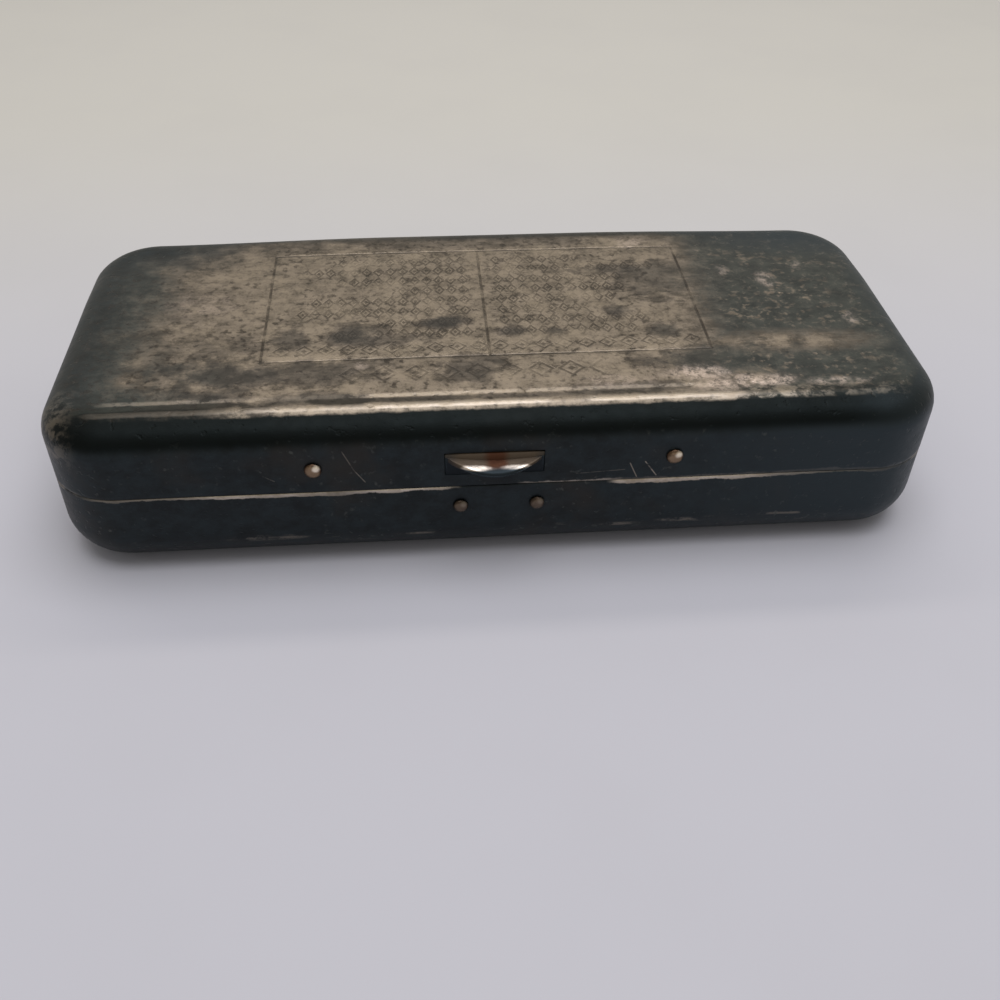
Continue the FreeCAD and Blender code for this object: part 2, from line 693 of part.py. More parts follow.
doc.recompute()

NODES = [
    "base_shell", "locating_rim_left", "locating_rim_right", "base_hinge_leaf", "hinge_pin",
    "catch_spring", "catch_rivets", "bed_core", "bed_velvet", "lid_shell", "lid_hinge_leaf",
    "lid_card", "lid_satin", "packet_clip_left", "packet_clip_right", "clip_rivets",
    "packet_rail", "push_button",
]
for item in doc.Objects:
    if {"Invalid", "Error"} & set(item.State):
        raise RuntimeError(f"{item.Name} failed: {item.State}")
os.makedirs("parts", exist_ok=True)
for name in NODES:
    node = doc.getObject(name)
    if node.Shape.isNull() or not node.Shape.isValid():
        raise RuntimeError(f"{name} has no valid shape")
    node.Shape.exportStep(f"parts/{name}.step")
    box = node.Shape.BoundBox
    print(f"{name}: {len(node.Shape.Solids)} solid(s), {node.Shape.Volume:.2f} mm3, "
          f"x {box.XMin:.2f} {box.XMax:.2f}, y {box.YMin:.2f} {box.YMax:.2f}, "
          f"z {box.ZMin:.2f} {box.ZMax:.2f}")
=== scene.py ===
import logging
import math
from dataclasses import dataclass, field
from enum import Enum

import bmesh
import bpy
import numpy as np
from mathutils import Matrix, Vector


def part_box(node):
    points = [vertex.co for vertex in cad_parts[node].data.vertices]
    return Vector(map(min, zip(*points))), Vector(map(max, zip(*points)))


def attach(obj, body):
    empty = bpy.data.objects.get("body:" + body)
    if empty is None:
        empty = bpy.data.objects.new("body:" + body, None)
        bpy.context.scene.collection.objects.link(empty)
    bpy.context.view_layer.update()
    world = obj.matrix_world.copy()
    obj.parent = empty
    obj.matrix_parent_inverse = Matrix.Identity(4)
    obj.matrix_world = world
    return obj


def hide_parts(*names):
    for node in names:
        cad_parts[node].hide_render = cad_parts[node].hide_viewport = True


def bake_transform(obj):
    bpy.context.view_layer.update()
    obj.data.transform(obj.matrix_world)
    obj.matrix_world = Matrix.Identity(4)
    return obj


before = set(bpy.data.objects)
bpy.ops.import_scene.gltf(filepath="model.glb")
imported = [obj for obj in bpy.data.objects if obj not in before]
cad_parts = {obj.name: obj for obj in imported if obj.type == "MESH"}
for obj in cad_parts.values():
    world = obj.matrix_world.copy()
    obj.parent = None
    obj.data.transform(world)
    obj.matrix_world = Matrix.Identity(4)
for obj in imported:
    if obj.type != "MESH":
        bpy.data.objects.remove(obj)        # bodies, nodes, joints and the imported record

MM = 0.001
LOG = logging.getLogger("razor_case")
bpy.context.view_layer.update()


class Body(str, Enum):
    """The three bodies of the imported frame."""

    BASE = "base"
    LID = "lid"
    CATCH = "catch"


def corners(node: str) -> tuple[np.ndarray, np.ndarray]:
    """Return a node's lowest and highest corner in millimetres."""
    low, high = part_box(node)
    return np.array(low) / MM, np.array(high) / MM


# Meshes


def grid_quads(rows: int, columns: int, wrap: bool = False) -> np.ndarray:
    """Return the quads of a grid whose points are numbered row by row.

    Args:
        rows: Number of rows of points.
        columns: Number of points in a row.
        wrap: Whether the last column joins the first one.

    Returns:
        An array of four point numbers per quad.
    """
    column = np.arange(columns if wrap else columns - 1)
    row = np.arange(rows - 1)[:, None] * columns
    following = (column + 1) % columns
    corner_list = [row + column, row + following, row + columns + following,
                   row + columns + column]
    return np.stack(corner_list, axis=-1).reshape(-1, 4)


def finished_mesh(name: str, points: np.ndarray, faces: list,
                  merge: float = 0.0) -> bpy.types.Object:
    """Make a smooth-shaded object at the origin from points in millimetres.

    Args:
        name: The piece's name.
        points: Array of points, three numbers each.
        faces: Lists of point numbers, seen anticlockwise from outside.
        merge: Points nearer than this many millimetres become one.

    Returns:
        The new object.
    """
    mesh = bpy.data.meshes.new(name)
    mesh.from_pydata((np.asarray(points) * MM).tolist(), [], [list(map(int, f)) for f in faces])
    if merge > 0:
        work = bmesh.new()
        work.from_mesh(mesh)
        bmesh.ops.remove_doubles(work, verts=work.verts, dist=merge * MM)
        bmesh.ops.dissolve_degenerate(work, edges=work.edges, dist=merge * MM * 0.1)
        work.to_mesh(mesh)
        work.free()
    mesh.polygons.foreach_set("use_smooth", np.ones(len(mesh.polygons), bool))
    mesh.update()
    item = bpy.data.objects.new(name, mesh)
    bpy.context.scene.collection.objects.link(item)
    return item


def joined(name: str, parts: list[tuple[np.ndarray, list]]) -> bpy.types.Object:
    """Make one object of several separate solids, each given as its points and faces."""
    points, faces, start = [], [], 0
    for part_points, part_faces in parts:
        points.append(part_points)
        faces.extend([[start + int(index) for index in face] for face in part_faces])
        start += len(part_points)
    return finished_mesh(name, np.concatenate(points), faces)


def rounded_section(thickness: float, width: float, radius: float, steps: int = 3) -> np.ndarray:
    """Return a rounded rectangle as points (across, along), anticlockwise.

    Each corner is a quarter circle of the given radius about its own centre.
    """
    turn = np.linspace(0, np.pi / 2, steps)
    half = np.array([thickness / 2, width / 2]) - radius
    quarters = [
        np.array([sx, sy]) * half + radius * np.stack([np.cos(turn + start), np.sin(turn + start)], 1)
        for sx, sy, start in ((1, 1, 0), (-1, 1, np.pi / 2), (-1, -1, np.pi), (1, -1, 1.5 * np.pi))
    ]
    return np.concatenate(quarters)


def swept(path: np.ndarray, across: np.ndarray, along: np.ndarray, section: np.ndarray,
          ) -> tuple[np.ndarray, list]:
    """Carry a section along an open path and cap both ends.

    A point of the surface is the path's point plus the section's first coordinate times the
    across direction plus its second one times the along direction.

    Args:
        path: Points of the path, in millimetres.
        across: Unit direction at each path point for the section's first coordinate.
        along: Unit direction at each path point for the section's second coordinate.
        section: Closed outline, two numbers per point.

    Returns:
        The points and the faces.
    """
    points = (path[:, None] + across[:, None] * section[None, :, :1]
              + along[:, None] * section[None, :, 1:])
    rows, columns = points.shape[:2]
    tangent = path[1] - path[0]
    turns_left = np.dot(np.cross(across[0], along[0]), tangent) > 0
    quads = grid_quads(rows, columns, wrap=True)
    caps = [np.arange(columns)[::-1], np.arange(columns) + (rows - 1) * columns]
    if not turns_left:
        quads = quads[:, ::-1]
        caps = [cap[::-1] for cap in caps]
    return points.reshape(-1, 3), [*quads.tolist(), *[cap.tolist() for cap in caps]]


def bent_line(stops: list[tuple[float, float]], radius: float, steps: int = 6) -> np.ndarray:
    """Return a line in a plane through the stops, with an arc of the radius at each bend.

    At a bend, the arc starts and ends where a circle of the radius touches both straight runs.
    """
    spots = [np.array(spot, float) for spot in stops]
    line = [spots[0][None]]
    for before, bend, after in zip(spots, spots[1:], spots[2:]):
        towards = (before - bend) / np.linalg.norm(before - bend)
        away = (after - bend) / np.linalg.norm(after - bend)
        half_angle = math.acos(float(np.clip(towards @ away, -1, 1))) / 2
        reach = radius / math.tan(half_angle)
        middle = (towards + away) / np.linalg.norm(towards + away)
        centre = bend + middle * radius / math.sin(half_angle)
        start, end = bend + towards * reach - centre, bend + away * reach - centre
        share = np.linspace(0, 1, steps)[:, None]
        sweep = math.pi - 2 * half_angle
        weights = np.sin((1 - share) * sweep), np.sin(share * sweep)
        line.append(centre + (weights[0] * start + weights[1] * end) / math.sin(sweep))
    line.append(spots[-1][None])
    return np.concatenate(line)


def bent_sheet(line: np.ndarray, thickness: float, low_x: float, high_x: float,
               edge: float = 0.08) -> tuple[np.ndarray, list]:
    """Carry a sheet's section along a line in the Y-Z plane; the sheet spans low_x to high_x."""
    runs = np.diff(line, axis=0)
    runs /= np.linalg.norm(runs, axis=1, keepdims=True)
    tangent = np.concatenate([runs[:1], runs[:-1] + runs[1:], runs[-1:]])
    tangent /= np.linalg.norm(tangent, axis=1, keepdims=True)
    zero = np.zeros(len(line))
    middle = np.full(len(line), (low_x + high_x) / 2)
    path = np.stack([middle, line[:, 0], line[:, 1]], 1)
    across = np.stack([zero, -tangent[:, 1], tangent[:, 0]], 1)
    along = np.stack([zero + 1, zero, zero], 1)
    return swept(path, across, along, rounded_section(thickness, high_x - low_x, edge))


def turned(profile: np.ndarray, spot: tuple[float, float, float],
           axis: tuple[float, float, float] = (0, -1, 0), sides: int = 40,
           ) -> tuple[np.ndarray, list]:
    """Turn a profile (radius, height) about an axis through a spot.

    A point is the spot, plus its height along the axis, plus its radius round the circle. The
    heights rise along the profile, and both ends are closed.
    """
    along = np.array(axis, float)
    side = np.array([0.0, 0.0, 1.0]) if abs(along[0]) > 0.5 else np.array([1.0, 0.0, 0.0])
    other = np.cross(along, side)
    angle = np.linspace(0, 2 * np.pi, sides, endpoint=False)[:, None]
    circle = np.cos(angle) * side + np.sin(angle) * other
    points = (np.array(spot, float) + profile[:, None, :1] * circle
              + profile[:, None, 1:] * along)
    rows = len(profile)
    quads = grid_quads(rows, sides, wrap=True)
    caps = [np.arange(sides)[::-1], np.arange(sides) + (rows - 1) * sides]
    return points.reshape(-1, 3), [*quads.tolist(), *[cap.tolist() for cap in caps]]


def waviness(points: np.ndarray, seed: int, amplitude: float) -> np.ndarray:
    """Return the gentle unevenness of hand-worn sheet metal at each point.

    It is the mean of several long cosine waves of random direction and phase.
    """
    random = np.random.default_rng(seed)
    lengths = random.uniform(14.0, 42.0, 9)
    directions = random.normal(size=(9, 3))
    directions /= np.linalg.norm(directions, axis=1, keepdims=True)
    phases = random.uniform(0, 2 * np.pi, 9)
    waves = np.cos(points @ (directions * (2 * np.pi / lengths[:, None])).T + phases)
    return amplitude * waves.mean(axis=1)


def dent(points: np.ndarray, spot: tuple[float, float, float], width: float,
         depth: float) -> np.ndarray:
    """Return a bell-shaped dent: depth times e to the minus squared distance over width."""
    distance = np.linalg.norm(points - np.array(spot), axis=1)
    return depth * np.exp(-(distance / width) ** 2)


# Colours and materials


def linear(code: str) -> tuple[float, float, float, float]:
    """Turn an sRGB hex colour into the linear colour that a shader takes."""
    channels = np.array([int(code[i:i + 2], 16) for i in (1, 3, 5)]) / 255
    straight = np.where(channels <= 0.04045, channels / 12.92, ((channels + 0.055) / 1.055) ** 2.4)
    return (*straight.tolist(), 1.0)


def add(tree: bpy.types.NodeTree, kind: str, inputs: dict | None = None,
        **settings) -> bpy.types.Node:
    """Add a node, set its properties, and set or link its inputs.

    Args:
        tree: The node tree.
        kind: The node's type without its ShaderNode prefix.
        inputs: Socket name or number to a value or to the socket that it comes from.
        **settings: The node's own properties.

    Returns:
        The new node.
    """
    node = tree.nodes.new(f"ShaderNode{kind}")
    for name, setting in settings.items():
        setattr(node, name, setting)
    for key, source in (inputs or {}).items():
        socket = node.inputs[key]
        if isinstance(source, bpy.types.NodeSocket):
            tree.links.new(source, socket)
        else:
            socket.default_value = source
    return node


class Recipe:
    """A material under construction: its tree, its coordinates and the sums on them."""

    def __init__(self, name: str) -> None:
        """Start a material with a principled shader and coordinates in millimetres."""
        self.material = bpy.data.materials.new(name)
        self.material.use_nodes = True
        self.tree = self.material.node_tree
        self.tree.nodes.clear()
        self.shader = add(self.tree, "BsdfPrincipled")
        add(self.tree, "OutputMaterial", {"Surface": self.shader.outputs[0]})
        place = add(self.tree, "TexCoord")
        self.spot = add(self.tree, "VectorMath", {0: place.outputs["Object"], "Scale": 1 / MM},
                        operation="SCALE").outputs[0]
        parts = add(self.tree, "SeparateXYZ", {0: self.spot})
        self.x, self.y, self.z = parts.outputs

    def sum(self, operation: str, first, second=0.0, third=0.0, clamp: bool = False):
        """Return the socket of a sum on values or sockets."""
        node = add(self.tree, "Math", {0: first, 1: second, 2: third}, operation=operation,
                   use_clamp=clamp)
        return node.outputs[0]

    def ramp(self, value, low: float, high: float, to_low: float = 0.0, to_high: float = 1.0,
             smooth: bool = True):
        """Return a value carried from one range to another, held at its ends."""
        kind = "SMOOTHSTEP" if smooth else "LINEAR"
        node = add(self.tree, "MapRange", {"Value": value, "From Min": low, "From Max": high,
                                           "To Min": to_low, "To Max": to_high},
                   interpolation_type=kind, clamp=True)
        return node.outputs["Result"]

    def noise(self, size: float, detail: float = 4.0, roughness: float = 0.55,
              stretch: tuple[float, float, float] = (1.0, 1.0, 1.0),
              turn: tuple[float, float, float] = (0.0, 0.0, 0.0),
              shift: tuple[float, float, float] = (0.0, 0.0, 0.0)):
        """Return cloudy noise whose lumps are about size millimetres, stretched and turned."""
        place = add(self.tree, "Mapping", {
            "Vector": self.spot, "Location": shift, "Rotation": turn,
            "Scale": tuple(1 / (size * reach) for reach in stretch)})
        node = add(self.tree, "TexNoise", {"Vector": place.outputs[0], "Scale": 1.0,
                                           "Detail": detail, "Roughness": roughness})
        return node.outputs["Fac"]

    def mix(self, share, first, second):
        """Return a colour between two hex colours or sockets."""
        pick = [linear(colour) if isinstance(colour, str) else colour for colour in (first, second)]
        node = add(self.tree, "Mix", {0: share, 6: pick[0], 7: pick[1]}, data_type="RGBA")
        return node.outputs[2]

    def bump(self, height, distance_mm: float, strength: float = 1.0, normal=None):
        """Return the normal of a bump whose full height is distance_mm."""
        inputs = {"Height": height, "Distance": distance_mm * MM, "Strength": strength}
        if normal is not None:
            inputs["Normal"] = normal
        return add(self.tree, "Bump", inputs).outputs[0]

    def finish(self, **sockets) -> bpy.types.Material:
        """Set or link the shader's sockets, named with underscores for spaces."""
        for name, source in sockets.items():
            socket = self.shader.inputs[name.replace("_", " ")]
            if isinstance(source, bpy.types.NodeSocket):
                self.tree.links.new(source, socket)
            else:
                socket.default_value = source
        return self.material

    def blot(self, spot: tuple[float, float], reach: tuple[float, float], ragged, up=None):
        """Return a ragged soft spot on X and Y, or on X and up: 1 in its middle, 0 past its reach."""
        across = self.sum("DIVIDE", self.sum("SUBTRACT", self.x, spot[0]), reach[0])
        deep = self.sum("DIVIDE", self.sum("SUBTRACT", self.y if up is None else up, spot[1]),
                        reach[1])
        square = self.sum("ADD", self.sum("MULTIPLY", across, across),
                          self.sum("MULTIPLY", deep, deep))
        far = self.sum("ADD", self.sum("SQRT", square), ragged)
        return self.ramp(far, 1.35, 0.35)

    def profile(self, value, *stops: tuple[float, float]):
        """Return a level along a coordinate, straight between stops of (millimetres, level)."""
        first, last = stops[0][0], stops[-1][0]
        node = add(self.tree, "ValToRGB", {"Fac": self.ramp(value, first, last, smooth=False)})
        band = node.color_ramp
        ends = (band.elements[0], band.elements[1])
        for element, (place, level) in zip(ends, (stops[0], stops[-1])):
            element.color = (level, level, level, 1.0)
        for place, level in stops[1:-1]:
            band.elements.new((place - first) / (last - first)).color = (level, level, level, 1.0)
        return node.outputs["Color"]

    def swing(self, value, reach: float):
        """Return noise turned into a swing about zero, reach times its distance from a half."""
        return self.sum("MULTIPLY", self.sum("SUBTRACT", value, 0.5), reach)

    def stroke(self, across, up, start: tuple[float, float], end: tuple[float, float],
               width: float):
        """Return a thin straight stroke on two coordinates: 1 on its line, 0 past its width.

        The distance to the line is that to the nearest point between its ends.
        """
        run = np.subtract(end, start)
        length = float(np.hypot(*run))
        way = run / length
        dx = self.sum("SUBTRACT", across, start[0])
        dy = self.sum("SUBTRACT", up, start[1])
        along = self.sum("ADD", self.sum("MULTIPLY", dx, way[0]), self.sum("MULTIPLY", dy, way[1]))
        aside = self.sum("ABSOLUTE", self.sum("SUBTRACT", self.sum("MULTIPLY", dx, way[1]),
                                              self.sum("MULTIPLY", dy, way[0])))
        beyond = self.sum("ABSOLUTE", self.sum("SUBTRACT", along, length / 2))
        past_end = self.sum("MAXIMUM", self.sum("SUBTRACT", beyond, length / 2), 0.0)
        return self.ramp(self.sum("ADD", aside, past_end), width, width * 0.3)

    def most(self, *values):
        """Return the largest of several values."""
        largest = values[0]
        for other in values[1:]:
            largest = self.sum("MAXIMUM", largest, other)
        return largest

    def product(self, *values):
        """Return the product of several values."""
        result = values[0]
        for other in values[1:]:
            result = self.sum("MULTIPLY", result, other)
        return result


class Half(Enum):
    """The two drawn halves of the case."""

    TRAY = "tray"
    COVER = "cover"


@dataclass(frozen=True)
class Engraving:
    """Rules and rows of small lozenges cut into the lid's panel."""

    left: float = -26.5
    right: float = 25.1
    near: float = -9.5
    far: float = 15.1
    divider: float = -0.6
    rule_width: float = 0.22
    rule_depth: float = 0.045
    row_pitch: float = 2.42
    cell: float = 1.5
    rows_from: float = -5.5
    title_y: float = -7.4
    title_cell: float = 2.5
    band_y: float = -12.5
    band_cell: float = 3.5
    band_left: float = -17.9
    band_right: float = 12.0

    @property
    def rules(self) -> list[tuple[tuple[float, float], tuple[float, float]]]:
        """Return the start and end of each ruled line on the panel."""
        corner_list = [(self.left, self.near), (self.right, self.near), (self.right, self.far),
                       (self.left, self.far)]
        frame_lines = list(zip(corner_list, corner_list[1:] + corner_list[:1]))
        return [*frame_lines, ((self.divider, self.near), (self.divider, self.far))]

    def depth(self, points: np.ndarray) -> np.ndarray:
        """Return how deep the rules cut at each point: a bell across each line."""
        deepest = np.zeros(len(points))
        for start, end in self.rules:
            run = np.subtract(end, start)
            length = np.hypot(*run)
            offset = points[:, :2] - np.array(start)
            along = offset @ run / length
            aside = offset @ np.array([run[1], -run[0]]) / length
            past = np.maximum(np.abs(along - length / 2) - length / 2, 0)
            deepest = np.maximum(deepest, np.exp(-((aside ** 2 + past ** 2)
                                                   / (self.rule_width * 0.6) ** 2)))
        return self.rule_depth * deepest

    def lozenges(self, recipe: Recipe, across, up, cell: tuple[float, float], line: float):
        """Return the outlines of a row of lozenges with a dot in each.

        Within each cell, a lozenge is where the shares of the way out in X and Y add up to one.
        """
        shares = []
        for coordinate, size in ((across, cell[0]), (up, cell[1])):
            turns = recipe.sum("FRACT", recipe.sum("DIVIDE", coordinate, size))
            shares.append(recipe.sum("ABSOLUTE", recipe.sum("SUBTRACT", turns, 0.5)))
        way_out = recipe.sum("MULTIPLY", recipe.sum("ADD", *shares), 2.6)
        outline = recipe.ramp(recipe.sum("ABSOLUTE", recipe.sum("SUBTRACT", way_out, 1.0)),
                              2 * line, 0.6 * line)
        dot = recipe.ramp(way_out, 0.45, 0.25)
        return recipe.most(outline, dot)

    def mask(self, recipe: Recipe):
        """Return 1 on every engraved line and 0 elsewhere, on the panel alone."""
        x, y = recipe.x, recipe.y
        rules = recipe.most(*[recipe.stroke(x, y, start, end, self.rule_width)
                              for start, end in self.rules])
        up = recipe.sum("SUBTRACT", y, self.rows_from)
        row = recipe.sum("FLOOR", recipe.sum("DIVIDE", up, self.row_pitch))
        side = recipe.sum("GREATER_THAN", x, self.divider)
        chance = add(recipe.tree, "TexWhiteNoise", {
            "W": recipe.sum("ADD", row, recipe.sum("MULTIPLY", side, 31.0))},
            noise_dimensions="1D").outputs["Value"]
        reach = recipe.ramp(chance, 0, 1, 11.0, 24.0, smooth=False)
        aside = recipe.sum("ABSOLUTE", recipe.sum("SUBTRACT", x, self.divider))
        in_row = recipe.product(
            recipe.sum("LESS_THAN", aside, reach), recipe.sum("GREATER_THAN", aside, 1.3),
            recipe.sum("GREATER_THAN", up, 0.0), recipe.sum("LESS_THAN", y, self.far - 0.6))
        marks = [recipe.sum("MULTIPLY", in_row, self.lozenges(
            recipe, recipe.sum("SUBTRACT", x, self.divider), up,
            (self.cell, self.row_pitch), 0.2))]
        for middle, cell, low, high in (
                (self.title_y, self.title_cell, self.left + 1.0, self.right - 1.0),
                (self.band_y, self.band_cell, self.band_left, self.band_right)):
            rise = recipe.sum("ADD", recipe.sum("SUBTRACT", y, middle), cell / 2)
            within = recipe.product(
                recipe.sum("LESS_THAN", recipe.sum("ABSOLUTE", recipe.sum("SUBTRACT", y, middle)),
                           cell / 2 - 0.1),
                recipe.sum("GREATER_THAN", x, low), recipe.sum("LESS_THAN", x, high))
            marks.append(recipe.sum("MULTIPLY", within, self.lozenges(
                recipe, recipe.sum("SUBTRACT", x, low), rise, (cell, cell), 0.13)))
        on_panel = recipe.ramp(recipe.z, 19.0, 19.2)
        return recipe.product(on_panel, recipe.most(rules, recipe.product(
            recipe.most(*marks), 0.78)))


@dataclass(frozen=True)
class WornPlate:
    """Silver plate over drawn brass: tarnished near black on the walls, rubbed grey on top.

    The eye sees a dull blue-black skin, and where hands and pockets have rubbed it, warm grey
    metal with fine streaks, dark pits and a bright line along each edge. These bright lines are
    partly wear and partly painted highlight, and the cover's front roll carries painted shade.
    """

    skin_dark: str = "#0e1416"
    skin_light: str = "#20292d"
    skin_brown: str = "#2a2622"
    skin_far: str = "#283237"
    dust: str = "#5d605c"
    # Painted shade: the near-black tone laid over the cover's front roll.
    painted_roll_shade: str = "#151818"
    patina_dark: str = "#232827"
    patina_light: str = "#41443f"
    stain_dark: str = "#1d1916"
    stain_light: str = "#554d44"
    rubbed_warm: str = "#9b8f7f"
    rubbed_dull: str = "#5a534b"
    rubbed_mid: str = "#82786d"
    grime: str = "#27231f"
    # Bright metal at the rubbed edges; on the rim, shoulder and bead lines it is partly painted
    # highlight.
    bare_and_highlight: str = "#c3b8ac"
    chalk: str = "#c6b6aa"
    scratches: tuple = (
        ((-17.3, 16.3), (-16.2, 13.7), 0.3), ((-16.2, 13.7), (-15.1, 12.0), 0.4),
        ((13.9, 13.2), (14.8, 11.2), 0.6), ((15.6, 13.3), (17.0, 11.3), 0.8),
        ((8.0, 12.0), (13.4, 12.3), 0.18), ((-26.0, 13.4), (-24.8, 12.6), 0.2))
    foot_rubs: tuple = (
        ((-28.0, 4.3), (2.8, 0.4)), ((-24.0, 4.25), (1.8, 0.35)), ((13.8, 4.0), (2.4, 0.35)),
        ((21.0, 4.35), (3.2, 0.4)), ((-9.5, 4.0), (2.6, 0.25)), ((33.0, 4.7), (3.0, 0.25)))
    engraving: Engraving = field(default_factory=Engraving)
    dark_patches: tuple = (
        ((-31.0, -11.6), (6.0, 3.0), 0.95), ((-21.0, -11.8), (9.0, 2.6), 0.55),
        ((-2.6, -12.2), (4.2, 3.0), 0.5), ((24.6, -11.6), (7.4, 2.8), 0.95),
        ((33.0, -13.2), (11.0, 2.4), 0.85), ((-16.0, -4.2), (3.6, 2.4), 0.8),
        ((-5.6, -2.0), (3.0, 1.5), 0.95), ((-23.4, -4.6), (2.2, 2.8), 0.55),
        ((-12.5, -5.6), (5.5, 1.6), 0.4), ((2.2, -4.4), (1.8, 1.3), 0.6),
        ((15.5, -0.6), (1.7, 1.4), 0.6), ((14.6, 9.4), (5.4, 1.3), 0.4),
        ((21.5, 6.5), (5.2, 5.0), 0.5), ((7.5, -4.8), (1.4, 1.0), 0.6),
        ((-32.0, -6.4), (6.0, 2.6), 0.3), ((-17.0, -17.2), (4.0, 1.2), 0.9),
        ((-41.2, 7.0), (2.4, 2.0), 0.6), ((20.4, -5.4), (2.0, 2.0), 0.6),
        ((-36.5, -17.5), (11.0, 3.0), 0.9), ((-20.5, -16.5), (6.5, 1.1), 0.6),
        ((14.5, -16.6), (7.5, 0.9), 0.5))
    light_patches: tuple = (
        ((33.5, -8.6), (12.0, 2.6)), ((25.2, -15.2), (8.0, 2.6)), ((-39.5, -12.2), (3.4, 2.0)),
        ((10.0, -15.2), (12.0, 2.8)))
    chalk_spots: tuple = (
        ((19.6, 16.4), (2.6, 1.5), 0.5), ((35.4, 5.8), (1.2, 1.9), 0.55),
        ((43.4, -4.0), (1.0, 1.5), 0.6), ((40.4, 9.4), (1.0, 1.3), 0.35),
        ((30.4, 8.2), (1.0, 1.2), 0.35), ((22.3, -14.4), (3.6, 1.6), 0.9),
        ((28.6, -16.2), (4.0, 1.4), 0.85), ((24.0, -17.0), (3.2, 1.2), 0.85),
        ((37.5, -16.8), (3.5, 0.8), 0.5), ((13.0, -15.4), (4.0, 1.2), 0.4),
        ((-15.2, -10.8), (0.8, 0.8), 0.55), ((-34.4, 3.0), (4.2, 3.2), 0.25))

    def material(self, half: Half) -> bpy.types.Material:
        """Return the finish of one half's outer face."""
        recipe = Recipe(f"worn_silver_plate_{half.value}")
        clouds = recipe.noise(11.0, detail=4)
        fine = recipe.noise(1.9, detail=6, roughness=0.7, stretch=(1.25, 1.0, 1.0))
        grain = recipe.noise(0.5, detail=3, stretch=(7.0, 1.0, 1.0))
        flecks = recipe.noise(0.85, detail=2, roughness=0.5, shift=(31.0, 7.0, 3.0))
        skin = recipe.mix(recipe.ramp(fine, 0.3, 0.72), self.skin_dark, self.skin_light)
        skin = recipe.mix(recipe.ramp(clouds, 0.5, 0.72, 0.0, 0.7), skin, self.skin_brown)
        skin = recipe.mix(recipe.ramp(recipe.x, 6.0, 44.0, 0.0, 0.85), skin, self.skin_far)
        skin = recipe.mix(recipe.product(recipe.ramp(flecks, 0.6, 0.78), recipe.ramp(
            clouds, 0.4, 0.6), 0.4), skin, self.dust)
        shaded = 0.0
        if half is Half.COVER:
            # Painted shade: the cover's front, from high on the wall over the roll, is darkened to
            # near black and made metallic; it stands for shade, not for dirt.
            shaded = recipe.product(recipe.ramp(recipe.z, 16.3, 17.8), recipe.ramp(
                recipe.y, -15.0, -19.0), recipe.ramp(recipe.x, 46.0, 36.0, 0.5, 0.95))
            skin = recipe.mix(shaded, skin, self.painted_roll_shade)
            rubbed, colour, engraved = self.panel(recipe, skin, clouds, fine, grain, flecks)
        else:
            rubbed, colour, engraved = self.tray_wear(recipe, fine, grain), skin, None
        edges = self.edge_wear_and_highlight(recipe, half, clouds, fine, grain, flecks)
        colour = recipe.mix(edges, colour, recipe.mix(
            recipe.ramp(fine, 0.35, 0.7), self.bare_and_highlight, self.rubbed_warm))
        metal = recipe.most(rubbed, edges)
        height = recipe.sum("ADD", recipe.sum("MULTIPLY", fine, 0.5),
                            recipe.sum("MULTIPLY", grain, 0.14))
        height = recipe.sum("ADD", height, recipe.ramp(flecks, 0.6, 0.74, 0.0, -0.5))
        normal = recipe.bump(height, 0.09, 0.75)
        if engraved is not None:
            normal = recipe.bump(recipe.sum("SUBTRACT", 1.0, engraved), 0.07, 0.8, normal)
        rough = recipe.sum("SUBTRACT", recipe.ramp(fine, 0.25, 0.75, 0.4, 0.56),
                           recipe.sum("MULTIPLY", edges, 0.18))
        return recipe.finish(Base_Color=colour, Roughness=rough, Normal=normal,
                             Metallic=recipe.ramp(recipe.most(metal, shaded), 0, 1, 0.62, 1.0))

    def panel(self, recipe: Recipe, skin, clouds, fine, grain, flecks) -> tuple:
        """Return the wear, colour and engraving of the lid, whose panel is rubbed."""
        mottle = recipe.noise(3.8, detail=5, roughness=0.66, stretch=(1.2, 1.0, 1.0),
                              shift=(3.0, 17.0, 5.0))
        speck = recipe.noise(0.6, detail=4, roughness=0.8, shift=(2.0, 8.0, 1.0))
        blobs = recipe.noise(1.5, detail=2, roughness=0.55, shift=(9.0, 1.0, 14.0))
        ragged = recipe.sum("ADD", recipe.swing(fine, 1.1), recipe.swing(mottle, 1.5))
        x_sway = recipe.sum("ADD", recipe.x, recipe.sum("ADD", recipe.swing(clouds, 9.0),
                                                        recipe.swing(mottle, 6.0)))
        y_sway = recipe.sum("ADD", recipe.y, recipe.swing(clouds, 4.0))
        lit = recipe.product(
            recipe.profile(x_sway, (-48.0, -0.05), (-45.0, 0.04), (-42.5, 0.18), (-40.0, 0.48),
                           (-36.5, 0.82), (-31.0, 1.0), (22.0, 1.0), (25.0, 0.75), (27.0, 0.2),
                           (30.0, 0.0), (47.0, -0.05)),
            recipe.ramp(y_sway, 21.0, 14.5, 0.25, 1.0))
        streak = recipe.most(*[recipe.blot(spot, reach, ragged)
                               for spot, reach in self.light_patches])
        lit = recipe.most(lit, recipe.product(streak, recipe.ramp(mottle, 0.32, 0.55, 0.45, 1.0)))
        for spot, reach, strength in self.dark_patches:
            blot = recipe.blot(spot, reach, ragged)
            lit = recipe.sum("MULTIPLY", lit, recipe.ramp(blot, 0, 1, 1.0, 1.0 - strength,
                                                          smooth=False))
        dots = recipe.product(
            recipe.most(recipe.ramp(flecks, 0.54, 0.74), recipe.ramp(blobs, 0.54, 0.72)),
            recipe.ramp(clouds, 0.36, 0.56, 0.4, 1.0),
            recipe.profile(recipe.x, (22.0, 0.0), (26.0, 0.8), (40.0, 0.75), (47.0, 0.25)))
        lit = recipe.most(lit, dots)
